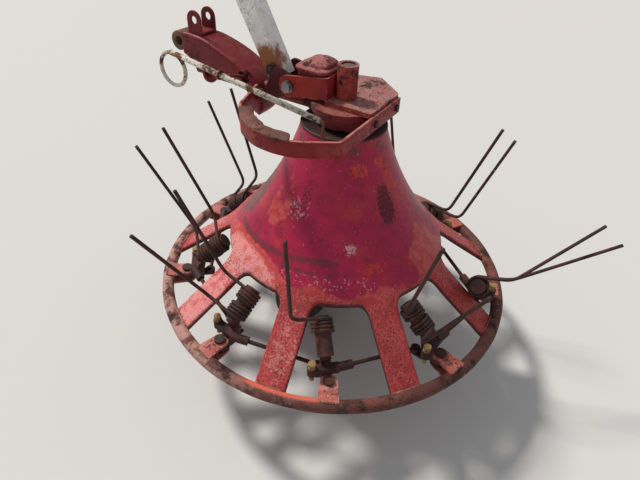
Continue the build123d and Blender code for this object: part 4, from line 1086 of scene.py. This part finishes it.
# %% The worn strip on its inner top
x, y = bow_line.T
strip_line = bow_line[(x < 6) & ((y < -186) | (x > -120))]
STRIP_WIDTH, STRIP_LEAST, ROUNDED_END = 26.0, 4.6, 16.0
at = np.arange(len(strip_line)) * BOW_STEP
to_end = np.minimum(at, at[-1] - at)
inner = STRIP_WIDTH + 1.2 * np.sin(at / 17) + 0.8 * np.sin(at / 6.1 + 2)
inner = inner * np.sqrt(1 - (1 - np.clip(to_end / ROUNDED_END, 0, 1)) ** 2) + STRIP_LEAST
STRIP_SECTION = (
    (4.8, 546.8), (4.9, 550.3), (3.6, 551.2), (-inner * 0.5, 551.2 + 0.2 * np.sin(at / 9)),
    (1.2 - inner, 551.0), (-inner, 549.8), (-inner, 546.8),
)
strip = np.stack([np.stack([offset + 0 * at, height + 0 * at], -1) for offset, height in STRIP_SECTION], 1)
strip_grid = upright_sweep(strip_line, strip)
worn_strip = mesh_piece("bow_strip", [(placed(strip_grid), False, True)], strip_rust, weld=MICRON)
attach(worn_strip, "frame")
print("strip:", len(strip_line), "stations")

# %% [markdown]
# ## The gear hump
# The input gears sit under a rough casting with a flange at its foot. A cube with noise would keep
# its corners. A superellipse, which lies between an ellipse and a rectangle, drawn in to the top
# row by row, gives the soft block, and a sum of small waves gives the sandy skin of a casting.

# %% A soft block with a sandy skin
def sandy(points, size=1.0, seed=5):
    """Sum of forty waves of random direction, 4 to 30 mm long, each weaker as it gets shorter."""
    dice = np.random.default_rng(seed)
    heading = dice.normal(size=(40, 3))
    heading /= np.linalg.norm(heading, axis=1)[:, None]
    length = np.geomspace(4, 30, 40)
    phase = dice.uniform(0, 2 * math.pi, 40)
    waves = np.sin(2 * math.pi * (points @ heading.T) / length + phase) * (length / 30) ** 0.7
    return size * waves.sum(-1) / math.sqrt(40)


def soft_block(centre, half, profile, lean=0.0, power=4.0, sides=96, skin=0.5, seed=5):
    """Rings of a superellipse; each profile row says how far the ring is drawn in and how high it is."""
    profile = np.array(profile, float)
    round_one = unit(full_turn(sides))
    shape = np.sign(round_one) * np.abs(round_one) ** (2 / power)
    size = np.maximum(np.array(half)[None] - profile[:, :1], 0.2)
    flat = shape[None] * size[:, None]
    flat[..., 0] += centre[0] + lean * profile[:, :1]
    flat[..., 1] += centre[1]
    points = np.concatenate([flat, np.broadcast_to(profile[:, 1][:, None, None], (*flat.shape[:2], 1))], -1)
    middle = np.array([centre[0], centre[1], profile[:, 1].mean()])
    out = points - middle
    out /= np.linalg.norm(out, axis=-1)[..., None]
    return points + out * sandy(points, skin, seed)[..., None]


HUMP_AT, HUMP_HALF, LUMP_AT, LUMP_HALF = (-78, 0), (42, 41), (-108, -16), (20, 17)
fall = np.linspace(0, math.pi / 2, 16)
FLANGE = [(-7, 612.4), (-8.5, 614), (-8.8, 616.5), (-8, 619.5), (-4, 621.5), (1, 623.5)]
crown = zip(3 + 39 * (1 - np.cos(fall)) ** 0.8, 624 + 19 * np.sin(fall))
hump_profile = [*((0, z) for z in np.linspace(545.5, 610, 14)), *FLANGE, *crown]
hump_grid = soft_block(HUMP_AT, HUMP_HALF, hump_profile, lean=0.35, skin=0.9)
hump = mesh_piece("gear_hump", [(placed(hump_grid), False, True)], hump_red)
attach(hump, "frame")
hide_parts("input_housing")
lump_profile = [(3, 590), (0, 594), (-1, 598), *zip(17 * (1 - np.cos(fall)), 600 + 20 * np.sin(fall))]
lump_grid = soft_block(LUMP_AT, LUMP_HALF, lump_profile, power=2.4, sides=48, skin=0.7, seed=8)
lump = mesh_piece("gear_hump_lump", [(placed(lump_grid), False, True)], hump_red)
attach(lump, "frame")
print("hump:", len(hump.data.vertices) + len(lump.data.vertices), "points")

# %% [markdown]
# ## The springs
# Each tine arm carries one length of spring wire: down from one tine's tip, round a coil, back
# through a hairpin and round a second coil to the other tip. Drawing it as a curve with a bevel is
# possible, but a tube computed along its line gives full control of the coils. The line is
# put together from a straight tine, an eased bend, a helix and the hairpin.

# %% Where the spool of an arm is
SPOOL = (365.0, 94.0)
SPOOL_TILT = math.radians(38)
PIVOT_R = 452.0
WIRE_R, COIL_R, COIL_PITCH, COIL_TURNS = 4.75, 26.0, 9.7, 3.4
COIL_START, HAIRPIN_REACH = 37.75, 10.0
COIL_TO_KNEE, KNEE_EASE, TINE_REACH = [9.0, -80.0, 18.0], 24.0, 295.0
ARM_TABLE = [
    # swivel of the arm; side angle and rise of the outer tine; the same of the inner tine
    (75, (-60, 26), (-40, 23)),
    (0, (-12, 66), (-14, 68)),
    (0, (60, 52), (43, 66)),
    (0, (-15, 60), (-18, 70)),
    (0, (-5, 60), (-15, 65)),
    (0, (-30, 55), (-22, 65)),
    (0, (-15, 60), (-15, 72)),
    (14, None, (-21.5, 78.6)),
    (13, (-14, 64.8), (-29.6, 74.6)),
]


def about_spool(along, side, up):
    """Points given along the tilted spool, to its side and square above it."""
    c, s = math.cos(SPOOL_TILT), math.sin(SPOOL_TILT)
    return np.stack([SPOOL[0] + along * c + up * s, side + 0 * along, SPOOL[1] - along * s + up * c], -1)


def swung(points, swivel):
    """Points of an arm after it has swung about its upright pivot."""
    c, s = math.cos(math.radians(swivel)), math.sin(math.radians(swivel))
    x, y = points[:, 0] - PIVOT_R, points[:, 1]
    return np.stack([PIVOT_R + x * c - y * s, x * s + y * c, points[:, 2]], -1)


def tine_line(coil_along, aim):
    """From the tip of a tine down its straight run, through the bend, to the top of its coil."""
    root = about_spool(np.array([coil_along]), 0.0, np.array([COIL_R]))[0]
    knee = root + COIL_TO_KNEE
    side, rise = np.radians(aim)
    heading = np.array([math.cos(rise) * math.cos(side), math.cos(rise) * math.sin(side), math.sin(rise)])
    tip = knee + heading * TINE_REACH
    back = (root - knee) / np.linalg.norm(root - knee)
    t = np.linspace(0, 1, 12)[:, None]
    before, after = knee + heading * KNEE_EASE, knee + back * KNEE_EASE
    curve = before * (1 - t) ** 2 + 2 * knee * t * (1 - t) + after * t**2
    shaft = tip + (curve[0] - tip) * np.linspace(0, 1, 20)[:-1, None]
    foot = curve[-1] + (root - curve[-1]) * np.linspace(0, 1, 12)[1:-1, None]
    return np.concatenate([shaft, curve, foot])


def wire_line(swivel, outer, inner):
    """The whole wire of one arm, from tip to tip; without an outer tine it starts in the hairpin."""
    phi = np.linspace(0, COIL_TURNS * 2 * math.pi, 96)
    along = COIL_START - COIL_PITCH * 0.98 * phi / (2 * math.pi)
    coil, other = (about_spool(way * along, COIL_R * np.sin(phi), COIL_R * np.cos(phi)) for way in (1, -1))
    end, half_gap = phi[-1], along[-1]
    swing = np.linspace(0, math.pi, 9)[1:-1]
    forward_by = HAIRPIN_REACH + half_gap * np.sin(swing)
    hairpin = about_spool(
        half_gap * np.cos(swing),
        COIL_R * math.sin(end) + forward_by * math.cos(end),
        COIL_R * math.cos(end) - forward_by * math.sin(end),
    )
    outer_side = [tine_line(COIL_START, outer), coil, hairpin] if outer else [hairpin[5:]]
    line = np.concatenate(outer_side + [other[::-1], tine_line(-COIL_START, inner)[::-1]])
    line[1:-1] = (line[:-2] + 2 * line[1:-1] + line[2:]) / 4
    return swung(line, swivel)


print("wire of one arm:", round(length_along(wire_line(*ARM_TABLE[5]))[-1]), "mm")

# %% Wind the nine springs
for i, row in enumerate(ARM_TABLE):
    wire = tube(wire_line(*row), WIRE_R, turn=arm_turns[i])
    spring = mesh_piece(f"spring_wire_{i + 1}", [wire], spring_rust_and_shade, weld=MICRON)
    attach(spring, "rotor")
    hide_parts(f"spring_tines_{i + 1}")
print("springs:", ARMS)

# %% [markdown]
# ## The ring and its welds
# The ring is one bent tube. A plain torus would do, but here its section swells and shrinks by up
# to two thirds of a millimetre, as bending leaves it. A weld bead is a row of frozen ripples: along
# each spoke's end and each lug's root runs a short tube whose radius rises and falls, sunk halfway
# into the ring.

# %% Bend the ring
RING_R, RING_TUBE_R = 508.0, 17.0
round_turn = np.linspace(0, 2 * math.pi, 361)[:, None]
about = full_turn(20)[None]
thick = RING_TUBE_R + 0.35 * np.sin(7 * round_turn + 1) + 0.3 * np.sin(23 * round_turn + 2)
out = RING_R + thick * np.cos(about)
ring_grid = np.stack([out * np.cos(round_turn), out * np.sin(round_turn), thick * np.sin(about)], -1)
ring = mesh_piece("ring_tube", [(placed(ring_grid), False, True)], ring_brown, weld=0.00002)
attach(ring, "rotor")
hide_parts("rotor_ring")
print("ring:", len(ring.data.vertices), "points")

# %% Lay the beads on it
weld_metal = worn_paint(
    "weld_metal", (0.24, 0.095, 0.070), (0.40, 0.23, 0.17), (0.075, 0.040, 0.030), (0.55, 0.42, 0.34),
    wear=(0.55, 0.8, 1.0), roughness=0.7,
)
SPOKE_BEAD, LUG_BEAD = (494.5, 10.5, 37, 3.6), (509.5, 17.2, 25, 3.4)
RIPPLE = 6.5


def bead(radius, height, half_length, thickness, seed, turn):
    """Rippled tube along a slightly wandering line across an arm, thinner at both ends."""
    along = np.linspace(-half_length, half_length, 46)
    dice = np.random.default_rng(seed)
    wander = np.convolve(dice.normal(0, 1.6, 60), np.ones(15) / 15, "valid")
    line = np.stack([np.sqrt(radius**2 - along**2) + wander, along, height + 0.4 * wander], -1)
    swell = 0.86 + 0.2 * np.sin(2 * math.pi * along / RIPPLE + seed)
    thin_out = np.minimum(1, 0.35 + (half_length - np.abs(along)) / 5)
    return tube(line, thickness * swell * thin_out, 8, turn)


spoke_beads = [bead(*SPOKE_BEAD, i, SPOKE_TURN + PITCH * i) for i in range(ARMS)]
lug_beads = [bead(*LUG_BEAD, i + 20, arm_turns[i]) for i in range(ARMS)]
welds = mesh_piece("ring_welds", spoke_beads + lug_beads, weld_metal, weld=MICRON)
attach(welds, "rotor")
print("weld beads:", 2 * ARMS)
